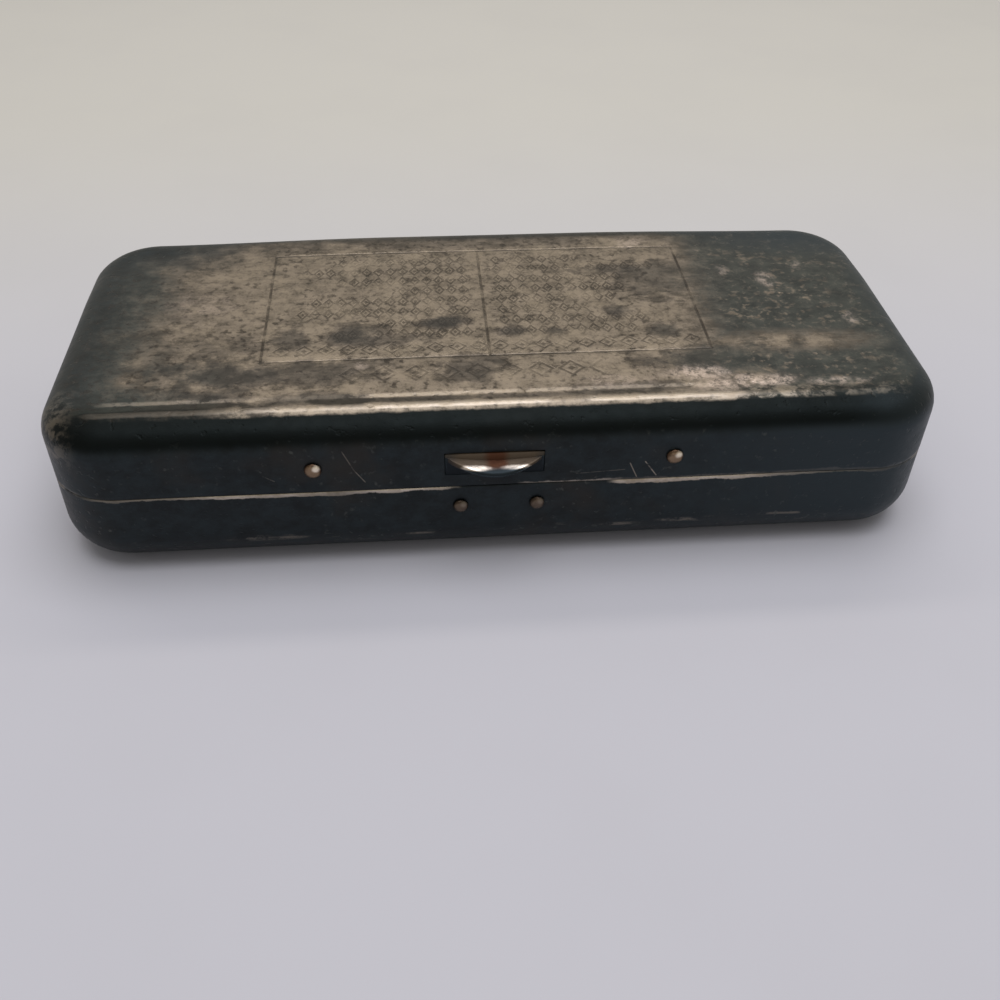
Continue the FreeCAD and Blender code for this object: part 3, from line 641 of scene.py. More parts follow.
        groove = recipe.product(
            recipe.ramp(recipe.y, -18.0, -17.7), recipe.ramp(recipe.y, -16.8, -17.15),
            recipe.profile(recipe.x, (-46.0, 0.3), (-43.0, 0.75), (-30.0, 0.85), (-26.0, 0.25),
                           (-21.0, 0.3), (-19.0, 0.8), (-6.0, 0.75), (-3.0, 0.35), (8.0, 0.3),
                           (20.0, 0.2), (46.0, 0.0)))
        lit = recipe.sum("SUBTRACT", lit, groove)
        worn = recipe.sum("ADD", recipe.sum("MULTIPLY", lit, 0.98),
                          recipe.sum("ADD", recipe.sum("MULTIPLY", ragged, 0.26),
                                     recipe.swing(speck, 0.85)))
        on_top = recipe.product(
            recipe.ramp(recipe.sum("ADD", recipe.z, recipe.sum("MULTIPLY", ragged, 0.16)),
                        19.0, 19.36),
            recipe.ramp(recipe.sum("ADD", recipe.y, recipe.swing(fine, 0.8)), -19.5, -19.05))
        wear = recipe.product(recipe.ramp(worn, 0.02, 0.86, smooth=False), on_top)
        shine = recipe.product(recipe.ramp(worn, 0.72, 1.2), on_top)
        patina = recipe.mix(recipe.ramp(fine, 0.3, 0.7), self.patina_dark, self.patina_light)
        patina = recipe.mix(recipe.profile(x_sway, (-42.0, 0.0), (-30.0, 0.75), (18.0, 0.75),
                                           (27.0, 0.1), (47.0, 0.0)),
                            patina, recipe.mix(fine, self.stain_dark, self.stain_light))
        dark_end = recipe.most(
            recipe.profile(recipe.x, (-49.5, 0.95), (-46.0, 0.75), (-43.0, 0.25), (-40.0, 0.0),
                           (45.0, 0.0), (48.5, 0.8)),
            recipe.product(recipe.ramp(recipe.y, 17.6, 18.9),
                           recipe.ramp(recipe.x, -20.0, 0.0, 0.3, 0.9)),
            recipe.product(recipe.ramp(recipe.y, -17.7, -18.1), recipe.profile(
                x_sway, (-46.0, 0.9), (-29.0, 0.85), (-25.5, 0.3), (28.0, 0.3), (36.0, 0.65),
                (47.0, 0.75))))
        patina = recipe.mix(dark_end, patina, skin)
        dull = recipe.sum("ADD", recipe.sum("MULTIPLY", fine, 0.75),
                          recipe.sum("MULTIPLY", grain, 0.3))
        metal = recipe.mix(recipe.ramp(dull, 0.38, 0.68), self.rubbed_dull, self.rubbed_mid)
        metal = recipe.mix(recipe.ramp(mottle, 0.5, 0.7, 0.0, 0.55), metal, self.rubbed_warm)
        colour = recipe.mix(on_top, skin, patina)
        colour = recipe.mix(recipe.sum("MULTIPLY", wear, recipe.sum(
            "SUBTRACT", 1.0, recipe.sum("MULTIPLY", dark_end, 0.7))), colour, metal)
        colour = recipe.mix(recipe.sum("MULTIPLY", shine, 0.8), colour, self.rubbed_warm)
        pits = recipe.product(
            recipe.most(recipe.ramp(flecks, 0.5, 0.68), recipe.ramp(speck, 0.55, 0.72)),
            recipe.ramp(recipe.x, 27.0, 20.0), on_top, recipe.ramp(mottle, 0.7, 0.36, 0.2, 0.72))
        engraved = self.engraving.mask(recipe)
        worn_lines = recipe.product(engraved, recipe.ramp(mottle, 0.66, 0.42, 0.2, 0.85))
        colour = recipe.mix(recipe.most(pits, recipe.sum("MULTIPLY", worn_lines, 0.85)), colour,
                            self.grime)
        haze = recipe.most(*[recipe.product(recipe.blot(spot, reach, ragged), strength)
                             for spot, reach, strength in self.chalk_spots])
        haze = recipe.product(haze, on_top, recipe.ramp(speck, 0.3, 0.62),
                              recipe.ramp(blobs, 0.36, 0.56, 0.1, 1.0))
        return wear, recipe.mix(haze, colour, self.chalk), worn_lines

    def tray_wear(self, recipe: Recipe, fine, grain):
        """Return the faint rubbing low on the tray, where its roll touches the table."""
        ragged = recipe.sum("ADD", recipe.swing(fine, 3.4), recipe.swing(grain, 2.2))
        rubs = recipe.most(*[recipe.blot(spot, reach, ragged, recipe.z)
                             for spot, reach in self.foot_rubs])
        low = recipe.product(recipe.ramp(recipe.z, 2.2, 3.8), recipe.ramp(recipe.z, 5.0, 4.4))
        haze = recipe.product(low, recipe.ramp(recipe.sum("MULTIPLY", fine, grain), 0.31, 0.45))
        return recipe.most(recipe.sum("MULTIPLY", haze, 0.4), recipe.product(
            rubs, recipe.ramp(recipe.y, -18.0, -20.0), recipe.ramp(fine, 0.4, 0.62), 0.75))

    def edge_wear_and_highlight(self, recipe: Recipe, half: Half, clouds, fine, grain, flecks):
        """Return where bright metal shows: rims, roll and scratches. The lines along the rims, the
        roll's shoulder and the panel's bead are partly rubbed metal and partly painted highlight.
        """
        ripple = recipe.swing(fine, 0.9)
        front = recipe.ramp(recipe.y, -20.0, -21.5)
        away = recipe.sum("SUBTRACT", 1.0, front)
        x_sway = recipe.sum("ADD", recipe.x, recipe.swing(clouds, 3.0))
        swell = recipe.swing(clouds, 1.3)
        height = recipe.sum("ADD", recipe.z, ripple)
        patchy = recipe.ramp(recipe.sum("ADD", fine, recipe.sum("MULTIPLY", clouds, 0.5)),
                             0.62, 0.86)
        if half is Half.TRAY:
            # Partly wear, partly painted highlight: the bright line along the tray's rim also stands
            # for the rim's top face lit where the lid sits back.
            thick = recipe.profile(recipe.x, (-34.0, 0.0), (-30.0, 0.22), (-21.0, 0.2),
                                   (-16.0, 0.0), (-12.0, 0.15), (-6.0, 0.0), (11.5, 0.0),
                                   (13.0, 0.22), (27.0, 0.15), (31.0, 0.0))
            line = recipe.ramp(recipe.sum("ADD", recipe.sum("ADD", height, thick), swell),
                               10.42, 10.6)
            along = recipe.profile(
                x_sway, (-47.0, 0.0), (-44.0, 0.3), (-34.0, 0.5), (-31.0, 0.9), (-20.0, 0.75),
                (-17.0, 0.5), (-12.5, 0.95), (-7.0, 0.9), (-4.8, 0.0), (11.6, 0.0), (12.6, 1.0),
                (28.0, 0.9), (31.0, 0.4), (37.0, 0.22), (44.0, 0.1), (47.0, 0.0))
            strong = recipe.most(recipe.product(front, along),
                                 recipe.product(patchy, away, 0.4))
            return recipe.most(recipe.product(line, strong),
                               recipe.sum("MULTIPLY", self.tray_wear(recipe, fine, grain), 0.55))
        # Partly wear, partly painted highlight: the bright line along the cover's rim, right of the
        # catch.
        line = recipe.ramp(recipe.sum("ADD", height, swell), 11.2, 11.0)
        along = recipe.profile(x_sway, (1.4, 0.0), (2.6, 0.35), (7.0, 0.6), (11.5, 0.5),
                               (13.0, 0.15), (46.0, 0.05))
        strong = recipe.most(recipe.product(front, along), recipe.product(patchy, away, 0.4))
        scratches = recipe.most(*[
            recipe.product(recipe.stroke(recipe.x, recipe.z, start, end, 0.09), strength,
                           recipe.ramp(fine, 0.36, 0.56))
            for start, end, strength in self.scratches])
        # Partly wear, partly painted highlight: ridge is a bright band on the roll's shoulder and
        # inner a thin bright line on the bead's far slope, each as wide and as strong along X as the
        # highlights there.
        roll_y = recipe.sum("ADD", recipe.y, recipe.sum("MULTIPLY", ripple, 0.45))
        ridge = recipe.product(
            recipe.ramp(roll_y, -19.0, -18.7), recipe.ramp(roll_y, -17.95, -18.25),
            recipe.ramp(recipe.z, 19.2, 19.32),
            recipe.profile(x_sway, (-46.0, 0.0), (-43.0, 0.1), (-28.5, 0.15), (-26.0, 0.5),
                           (-14.5, 0.4), (-12.5, 0.7), (4.5, 0.75), (6.0, 0.15), (8.5, 0.2),
                           (10.0, 0.7), (25.0, 0.7), (27.0, 0.25), (34.0, 0.05), (43.0, 0.0)),
            recipe.ramp(fine, 0.3, 0.5, 0.45, 1.0))
        inner = recipe.product(
            recipe.ramp(roll_y, -16.95, -16.7), recipe.ramp(roll_y, -16.1, -16.4),
            recipe.ramp(recipe.z, 19.1, 19.3), recipe.ramp(fine, 0.36, 0.56),
            recipe.profile(x_sway, (-44.0, 0.0), (-41.0, 0.35), (-30.0, 0.35), (-27.0, 0.08),
                           (-15.0, 0.1), (-13.0, 0.8), (5.0, 0.7), (9.0, 0.4), (20.0, 0.5),
                           (24.0, 0.0)))
        blotches = recipe.product(
            recipe.ramp(roll_y, -19.4, -18.9), recipe.ramp(roll_y, -16.6, -17.6),
            recipe.ramp(fine, 0.44, 0.6), recipe.ramp(flecks, 0.3, 0.52, 0.4, 1.0),
            recipe.profile(recipe.x, (19.0, 0.0), (23.0, 0.75), (32.0, 0.6), (36.0, 0.25),
                           (43.0, 0.2), (46.0, 0.0)))
        corner = recipe.product(
            recipe.ramp(recipe.x, -44.5, -48.0), recipe.ramp(recipe.y, -12.0, -17.0),
            recipe.ramp(recipe.z, 13.5, 15.5), recipe.ramp(fine, 0.45, 0.62), 0.3)
        return recipe.most(recipe.product(line, strong), recipe.product(front, scratches, 0.8),
                           ridge, inner, blotches, corner)


@dataclass(frozen=True)
class Metal:
    """A plain worn metal: two tones clouded together, a bright wear tone and fine marks."""

    name: str
    light: str
    dark: str
    worn: str
    roughness: float
    mark: float = 1.6
    worn_share: float = 0.35
    stretch: tuple[float, float, float] = (5.0, 1.0, 1.0)

    def material(self) -> bpy.types.Material:
        """Return the metal: clouds of tarnish, and streaks along the way it was drawn."""
        recipe = Recipe(self.name)
        clouds = recipe.noise(self.mark * 3, detail=4)
        streaks = recipe.noise(self.mark * 0.4, detail=4, roughness=0.65, stretch=self.stretch)
        specks = recipe.noise(self.mark * 0.3, detail=2, shift=(5.0, 2.0, 9.0))
        colour = recipe.mix(recipe.ramp(clouds, 0.35, 0.65), self.dark, self.light)
        worn = recipe.ramp(streaks, 0.66 - 0.3 * self.worn_share, 0.78, 0.0, 0.8)
        colour = recipe.mix(worn, colour, self.worn)
        colour = recipe.mix(recipe.ramp(specks, 0.66, 0.74, 0.0, 0.6), colour, self.dark)
        height = recipe.sum("SUBTRACT", streaks, recipe.ramp(specks, 0.64, 0.76, 0.0, 0.5))
        return recipe.finish(
            Base_Color=colour, Metallic=1.0, Normal=recipe.bump(height, 0.03, 0.6),
            Roughness=recipe.ramp(streaks, 0.3, 0.7, self.roughness + 0.08, self.roughness - 0.08))


@dataclass(frozen=True)
class ThumbSilver:
    """Silver plate on the thumb button, worn to brown copper but for two hollows, whose silver
    patches are partly painted highlight.
    """

    silver: str = "#d6cabe"
    copper: str = "#4a3125"
    dulled: str = "#51473d"
    grime: str = "#2a3034"
    spots: tuple[tuple[float, float], tuple[float, float]] = ((-3.0, -23.35), (1.4, -23.35))
    silver_highlight_reach: tuple[float, float] = (1.7, 0.4)

    def material(self) -> bpy.types.Material:
        """Return the finish: silver in the hollows, partly painted highlight, a copper neck between,
        grimy at its rims.
        """
        recipe = Recipe("worn_silver_thumb_button")
        fine = recipe.noise(0.8, detail=5, roughness=0.65)
        ripple = recipe.swing(fine, 0.8)
        # Partly silver plate, partly painted highlight: the silver patches take the size and place of
        # the hollows' highlights.
        bright = recipe.most(*[recipe.blot(spot, self.silver_highlight_reach, ripple)
                               for spot in self.spots])
        middle = (self.spots[0][0] + self.spots[1][0]) / 2
        aside = recipe.sum("ADD", ripple, recipe.sum("ABSOLUTE", recipe.sum(
            "SUBTRACT", recipe.x, middle)))
        colour = recipe.mix(recipe.ramp(aside, 0.6, 1.6), self.copper, self.dulled)
        bowl = recipe.sum("SUBTRACT", recipe.z, recipe.sum(
            "MULTIPLY", recipe.sum("MULTIPLY", aside, aside), 0.03))
        rims = recipe.most(recipe.ramp(aside, 3.8, 5.4, 0.0, 0.5), recipe.product(
            recipe.ramp(recipe.y, -22.32, -22.22), recipe.ramp(bowl, 14.2, 13.9)))
        colour = recipe.mix(bright, colour, self.silver)
        low = recipe.ramp(recipe.z, 14.22, 14.02)
        colour = recipe.mix(recipe.most(rims, low), colour, self.grime)
        return recipe.finish(Base_Color=colour, Metallic=1.0,
                             Roughness=recipe.ramp(bright, 0, 1, 0.5, 0.3),
                             Normal=recipe.bump(fine, 0.05, 0.5))


@dataclass(frozen=True)
class RivetCopper:
    """Soft copper rivet heads: brown, with a painted highlight on the upper right of each, and grime
    in the ring round them.
    """

    light: str = "#85705c"
    brown: str = "#4e3d30"
    grime: str = "#141110"
    # Painted highlight: the pale tone of the glint on each head.
    rubbed: str = "#e8dccb"

    def material(self, name: str, spots: tuple, crown: float, glint_strength: float) -> bpy.types.Material:
        """Return the finish for two heads.

        Args:
            name: The material's name.
            spots: X and Z of the heads' middles on the front wall.
            crown: How far the heads rise from the wall.
            glint_strength: How strongly the painted highlight on the upper right of each head shows,
                0 to 1.

        Returns:
            The material.
        """
        recipe = Recipe(name)
        fine = recipe.noise(0.5, detail=5, roughness=0.65)
        out = recipe.sum("SUBTRACT", -22.2, recipe.y)
        rise = recipe.sum("ADD", recipe.sum("DIVIDE", out, crown), recipe.swing(fine, 0.9))
        colour = recipe.mix(recipe.ramp(rise, 0.55, 0.95), self.brown, self.light)
        ragged = recipe.swing(fine, 0.8)
        # Painted highlight: a small bright spot up and to the right of each head's middle.
        bright = recipe.most(*[recipe.blot((x + 0.36, z + 0.42), (0.42, 0.36), ragged, recipe.z)
                               for x, z in spots])
        colour = recipe.mix(recipe.sum("MULTIPLY", bright, glint_strength), colour, self.rubbed)
        colour = recipe.mix(recipe.ramp(rise, 0.42, 0.1), colour, self.grime)
        return recipe.finish(Base_Color=colour, Metallic=1.0,
                             Roughness=recipe.ramp(fine, 0.3, 0.7, 0.34, 0.52),
                             Normal=recipe.bump(fine, 0.06, 0.7))


@dataclass(frozen=True)
class CutVelvet:
    """Cotton velvet glued in the bed: deep purple pile, pressed and faded on the ridges."""

    deep: str = "#2a1233"
    faded: str = "#5a3560"
    dust: str = "#8b7a86"

    def material(self) -> bpy.types.Material:
        """Return the pile: fibres of a quarter millimetre, in pressed patches."""
        recipe = Recipe("cut_cotton_velvet")
        pile = recipe.noise(0.28, detail=3, roughness=0.7)
        pressed = recipe.noise(5.0, detail=4)
        ridge = recipe.ramp(recipe.sum("ADD", recipe.z, recipe.sum("MULTIPLY", pressed, 1.6)),
                            9.6, 11.3)
        colour = recipe.mix(recipe.ramp(pressed, 0.35, 0.7, 0.1, 0.75), self.deep, self.faded)
        colour = recipe.mix(recipe.product(ridge, recipe.ramp(pile, 0.35, 0.7), 0.6), colour,
                            self.dust)
        height = recipe.sum("ADD", pile, recipe.sum("MULTIPLY", pressed, 0.6))
        return recipe.finish(Base_Color=colour, Roughness=0.95, Specular_IOR_Level=0.2,
                             Sheen_Weight=0.6, Sheen_Roughness=0.4,
                             Sheen_Tint=linear("#a884b4"), Normal=recipe.bump(height, 0.25, 0.8))


@dataclass(frozen=True)
class LiningSatin:
    """Silk-faced satin over the lid's card: long floats along X, foxed with age."""

    sheen: str = "#7c5388"
    shade: str = "#4a2a55"
    foxing: str = "#8a7466"

    def material(self) -> bpy.types.Material:
        """Return the weave, drawn at half a millimetre, coarser than life so that it shows."""
        recipe = Recipe("silk_faced_satin")
        thread = recipe.noise(0.24, detail=3, roughness=0.6, stretch=(9.0, 1.0, 1.0))
        age = recipe.noise(7.0, detail=5)
        colour = recipe.mix(recipe.ramp(thread, 0.35, 0.65), self.shade, self.sheen)
        colour = recipe.mix(recipe.ramp(age, 0.56, 0.74, 0.0, 0.55), colour, self.foxing)
        return recipe.finish(Base_Color=colour, Roughness=0.42, Anisotropic=0.5,
                             Sheen_Weight=0.25, Normal=recipe.bump(thread, 0.05, 0.7))


@dataclass(frozen=True)
class PressedCard:
    """Pulp board moulded under the lining: matte brown, with flecks and fibres."""

    light: str = "#9a8262"
    dark: str = "#5f4d38"

    def material(self) -> bpy.types.Material:
        """Return the board: fibres about a millimetre long, lying every way."""
        recipe = Recipe("pressed_pulp_board")
        fibre = recipe.noise(0.6, detail=5, roughness=0.7, stretch=(2.0, 1.0, 1.0))
        stain = recipe.noise(8.0, detail=3)
        colour = recipe.mix(recipe.ramp(fibre, 0.3, 0.7), self.dark, self.light)
        colour = recipe.mix(recipe.ramp(stain, 0.5, 0.8, 0.0, 0.5), colour, self.dark)
        return recipe.finish(Base_Color=colour, Roughness=0.9, Specular_IOR_Level=0.3,
                             Normal=recipe.bump(fibre, 0.08, 0.7))


BRIGHT_BRASS = Metal("soldered_bright_brass", "#b39560", "#6d5634", "#d8c190", 0.34)
INNER_BRASS = Metal("tinned_brass_inside", "#8f8574", "#564d3f", "#bdb29c", 0.45)
HINGE_BRASS = Metal("tarnished_hinge_brass", "#3a3a35", "#1b1f1f", "#a08d68", 0.4, mark=1.0)
PIN_STEEL = Metal("drawn_steel_wire", "#8d8c8a", "#4b4a48", "#c3c2bf", 0.32, mark=0.8)
SPRING_STEEL = Metal("blued_spring_steel", "#575b61", "#2e3136", "#93959a", 0.33, mark=1.2)


def fit(piece: bpy.types.Object, body: Body | None, slot: str, finish: bpy.types.Material,
        *nodes: str) -> bpy.types.Object:
    """Dress a new piece and hand it to its body.

    Args:
        piece: The new piece.
        body: The body that it moves with, or None for a piece that bends between two, which is left
            on no body.
        slot: The record's material slot; not used.
        finish: Its material; none is added where the mesh already has some.
        *nodes: The CAD nodes that it stands for.

    Returns:
        The same piece.
    """
    if not piece.data.materials:
        piece.data.materials.append(finish)
    if body:
        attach(piece, body.value)
    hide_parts(*nodes)
    LOG.info("%s on %s, for %s", piece.name, body.value if body else "two bodies",
             ", ".join(nodes))
    return piece


def dress_node(node: str, finish: bpy.types.Material) -> None:
    """Give a CAD node that stays shown its procedural material."""
    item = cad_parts[node]
    for number in range(len(item.material_slots)):
        item.material_slots[number].material = finish
    LOG.info("%s keeps its solid", node)


def edge_finish(piece: bpy.types.Object, wall: float, bevel: float, turn: float = 40.0) -> None:
    """Thicken a surface inwards by a wall and break its edges by a small bevel."""
    solid = piece.modifiers.new("wall", "SOLIDIFY")
    solid.thickness = wall * MM
    solid.offset = -1
    solid.use_even_offset = True
    solid.material_offset = 1
    if bevel > 0:
        broken = piece.modifiers.new("broken_edges", "BEVEL")
        broken.width = bevel * MM
        broken.segments = 2
        broken.limit_method = "ANGLE"
        broken.angle_limit = math.radians(turn)


# The drawn halves


@dataclass
class DrawnHalf:
    """A drawn half of the case: walls, a rolled edge and a flat panel, one sheet of brass."""

    half: Half
    node: str
    body: Body
    slot: str
    rim: float
    panel: float
    roll: float
    opening: tuple[float, float, float, float] | None = None
    half_length: float = 50.0
    half_depth: float = 22.2
    corner: float = 8.0
    wall: float = 0.8
    edge_break: float = 0.16
    notch_half: float = 28.25
    notch_reach: float = 1.35
    unevenness: float = 0.035
    bead_inset: float = 5.15
    bead_depth: float = 0.08
    bead_width: float = 0.62
    shoulder: float = 0.0
    flank: float = 0.0
    flank_lean: float = 90.0
    droop: float = 0.0
    engraving: Engraving | None = None

    @property
    def outwards(self) -> float:
        """Return the sign of Z on the panel's outer side."""
        return 1.0 if self.panel > self.rim else -1.0

    def grid_x(self) -> np.ndarray:
        """Return the X of the columns: even steps, the openings' edges and the rules."""
        straight = self.half_length - self.corner
        marks = [self.notch_half, -self.notch_half]
        if self.opening:
            marks += list(self.opening[:2])
        if self.engraving:
            width = self.engraving.rule_width
            for line in (self.engraving.left, self.engraving.divider, self.engraving.right):
                marks += [line - width, line - width / 2, line, line + width / 2, line + width]
        return self.with_marks(np.linspace(-straight, straight, 85), marks)

    def grid_y(self) -> np.ndarray:
        """Return the Y of the panel's inner rows: even steps and the near rule."""
        straight = self.half_depth - self.corner
        marks = []
        if self.engraving:
            width = self.engraving.rule_width
            near = self.engraving.near
            marks += [near - width, near - width / 2, near, near + width / 2, near + width]
        return self.with_marks(np.linspace(-straight, straight, 29), marks)

    @staticmethod
    def with_marks(even: np.ndarray, marks: list[float]) -> np.ndarray:
        """Return even steps with marks put in, where each mark pushes out steps near it."""
        if not marks:
            return even
        marks_array = np.array(sorted(marks))
        near = np.abs(even[:, None] - marks_array).min(axis=1) < 0.3
        near[[0, -1]] = False
        return np.sort(np.concatenate([even[~near], marks_array]))

    def columns(self) -> tuple[np.ndarray, np.ndarray]:
        """Return each column's foot on the inner rectangle and its outward direction.

        The outline at an inset is the foot plus the direction times what is left of the corner
        radius, so that straight sides stay straight and the corners are arcs.
        """
        x, y = self.grid_x(), self.grid_y()
        far_x, far_y = self.half_length - self.corner, self.half_depth - self.corner
        turn = np.linspace(0, np.pi / 2, 15)[1:-1]
        feet, ways = [], []
        sides = [
            (np.stack([x, 0 * x - far_y], 1), (0, -1), (far_x, -far_y), -np.pi / 2),
            (np.stack([0 * y + far_x, y], 1), (1, 0), (far_x, far_y), 0.0),
            (np.stack([x[::-1], 0 * x + far_y], 1), (0, 1), (-far_x, far_y), np.pi / 2),
            (np.stack([0 * y - far_x, y[::-1]], 1), (-1, 0), (-far_x, -far_y), np.pi),
        ]
        for side, way, centre, start in sides:
            feet += [side, np.repeat([centre], len(turn), axis=0)]
            ways += [np.repeat([way], len(side), axis=0),
                     np.stack([np.cos(turn + start), np.sin(turn + start)], 1)]
        return np.concatenate(feet), np.concatenate(ways).astype(float)

    def rows(self, worn: bool) -> np.ndarray:
        """Return (inset, height, lean) of each ring; lean is the normal's angle above level.

        Args:
            worn: Whether the roll has the shoulder that years of use have given the front.

        Returns:
            An array with a row per ring.
        """
        bend = self.panel - self.outwards * self.roll
        marks = [self.rim + self.outwards * self.notch_reach]
        if self.opening:
            marks += list(self.opening[2:])
        heights = self.with_marks(np.linspace(self.rim, bend, 12), marks)
        if self.outwards < 0:
            heights = heights[::-1]
        roll_rows = self.roll_rows()
        inner = np.append(np.arange(roll_rows[-1, 0] + 0.15, 6.4, 0.15),
                          np.arange(6.55, self.corner - 0.1, 0.3))
        if not worn:
            angle = np.linspace(0, np.pi / 2, len(roll_rows) + 1)[1:]
            roll_rows = np.stack([self.roll * (1 - np.cos(angle)), self.roll * np.sin(angle),
                                  angle], 1)
        if self.engraving:
            line = self.half_depth - self.engraving.far
            width = self.engraving.rule_width
            inner = self.with_marks(inner, [line - width, line - width / 2, line,
                                            line + width / 2, line + width])
        inner = np.append(inner, self.corner)
        wall_rows = np.stack([0 * heights, heights, 0 * heights], 1)
        roll_rows[:, 1] = bend + self.outwards * roll_rows[:, 1]
        panel_rows = np.stack([inner, 0 * inner + self.panel, 0 * inner + np.pi / 2], 1)
        return np.concatenate([wall_rows, roll_rows, panel_rows])

    def roll_rows(self) -> np.ndarray:
        """Return (inset, rise, lean) over the roll: a wide arc, a straight flank, a shoulder.

        The wide arc's radius is what makes the three rise by the roll's height together.
        """
        lean = math.radians(self.flank_lean)
        wide = (self.roll - self.flank * math.cos(lean)
                - self.shoulder * (1 - math.sin(lean))) / math.sin(lean)
        angle = np.linspace(0, lean, 12)[1:]
        arc = np.stack([wide * (1 - np.cos(angle)), wide * np.sin(angle), angle], 1)
        if self.shoulder == 0:
            return arc
        foot = arc[-1] + [self.flank * math.sin(lean), self.flank * math.cos(lean), 0]
        middle = (arc[-1] + foot) / 2
        turn = np.linspace(lean, np.pi / 2, 8)[1:]
        top = np.stack([foot[0] + self.shoulder * (math.cos(lean) - np.cos(turn)),
                        foot[1] + self.shoulder * (np.sin(turn) - math.sin(lean)), turn], 1)
        return np.concatenate([arc, [middle, foot], top])

    def sink(self, points: np.ndarray, on_panel: np.ndarray, inset: np.ndarray) -> np.ndarray:
        """Return how far each point is pushed in: old dents, the panel's bead and the rules."""
        wave = self.unevenness * (1 + waviness(points, 5 + len(self.node), 1.6))
        bead = self.bead_depth * np.exp(-((inset - self.bead_inset) / self.bead_width) ** 2)
        bead = bead * (0.25 + 0.75 * smooth((-13.0 - points[:, 1]) / 3))
        if self.engraving is None:
            return np.where(on_panel, wave * 0.3, wave)
        hollows = (dent(points, (12.0, 4.0, self.panel), 11.0, 0.09)
                   + dent(points, (-18.0, -3.0, self.panel), 8.0, 0.07)
                   + dent(points, (34.0, -22.2, 15.0), 6.0, 0.08)
                   + dent(points, (-33.0, -22.2, 14.0), 5.0, 0.06))
        cut = np.where(on_panel, bead + self.engraving.depth(points), 0)
        pressed = (smooth((np.abs(points[:, 0]) - 12) / 32) * smooth((points[:, 1] - 6) / 12)
                   * smooth((points[:, 2] - 16.0) / 3))
        return wave + hollows + cut + self.droop * pressed

    def build(self) -> bpy.types.Object:
        """Return the sheet: rings of columns round the walls and roll, then the flat panel."""
        feet, ways = self.columns()
        share = smooth(-ways[:, 1] * 1.4)[None, :, None]
        rings = (self.rows(worn=True)[:, None] * share
                 + self.rows(worn=False)[:, None] * (1 - share))
        inset, height, lean = rings[..., :1], rings[..., 1:2], rings[..., 2:]
        points = np.concatenate([feet[None] + ways[None] * (self.corner - inset), height], 2)
        normals = np.concatenate([ways[None] * np.cos(lean), self.outwards * np.sin(lean)], 2)
        quads = grid_quads(*points.shape[:2], wrap=True)
        points, normals = points.reshape(-1, 3), normals.reshape(-1, 3)
        depth = inset.ravel()
        flat_part = lean.ravel() > np.pi / 2 - 1e-6
        quads = quads[~self.cut_away(points[quads].mean(axis=1))]
        rim_ring = np.arange(len(feet))
        points[rim_ring, 2] += self.outwards * (0.05 + waviness(points[rim_ring], 3, 0.07))

        x, y = np.meshgrid(self.grid_x(), self.grid_y())
        patch = np.stack([x.ravel(), y.ravel(), np.full(x.size, self.panel)], 1)
        patch_quads = grid_quads(*x.shape) + len(points)
        patch_normals = np.tile([0, 0, self.outwards], (len(patch), 1))
        quads = np.concatenate([quads, patch_quads])
        if self.outwards < 0:
            quads = quads[:, ::-1]
        points = np.concatenate([points, patch])
        normals = np.concatenate([normals, patch_normals])
        depth = np.concatenate([depth, np.full(len(patch), self.corner)])
        flat_part = np.concatenate([flat_part, np.ones(len(patch), bool)])
        points -= normals * np.maximum(self.sink(points, flat_part, depth), 0)[:, None]
        return finished_mesh(f"{self.half.value}_sheet", points, quads.tolist(), merge=0.004)

    def cut_away(self, middles: np.ndarray) -> np.ndarray:
        """Return which faces lie in the catch opening or the hinge notch."""
        notch = ((np.abs(middles[:, 0]) < self.notch_half) & (middles[:, 1] > 20)
                 & (np.abs(middles[:, 2] - self.rim) < self.notch_reach))
        if not self.opening:
            return notch
        x0, x1, z0, z1 = self.opening
        return notch | ((middles[:, 0] > x0) & (middles[:, 0] < x1) & (middles[:, 1] < -20)
                        & (middles[:, 2] > z0) & (middles[:, 2] < z1))

    def dress(self, outside: bpy.types.Material, inside: bpy.types.Material) -> None:
        """Build the sheet, give it its wall and put it in place of its solid."""
        piece = self.build()
        piece.data.materials.append(outside)
        piece.data.materials.append(inside)
        edge_finish(piece, self.wall, self.edge_break)
        fit(piece, self.body, self.slot, outside, self.node)


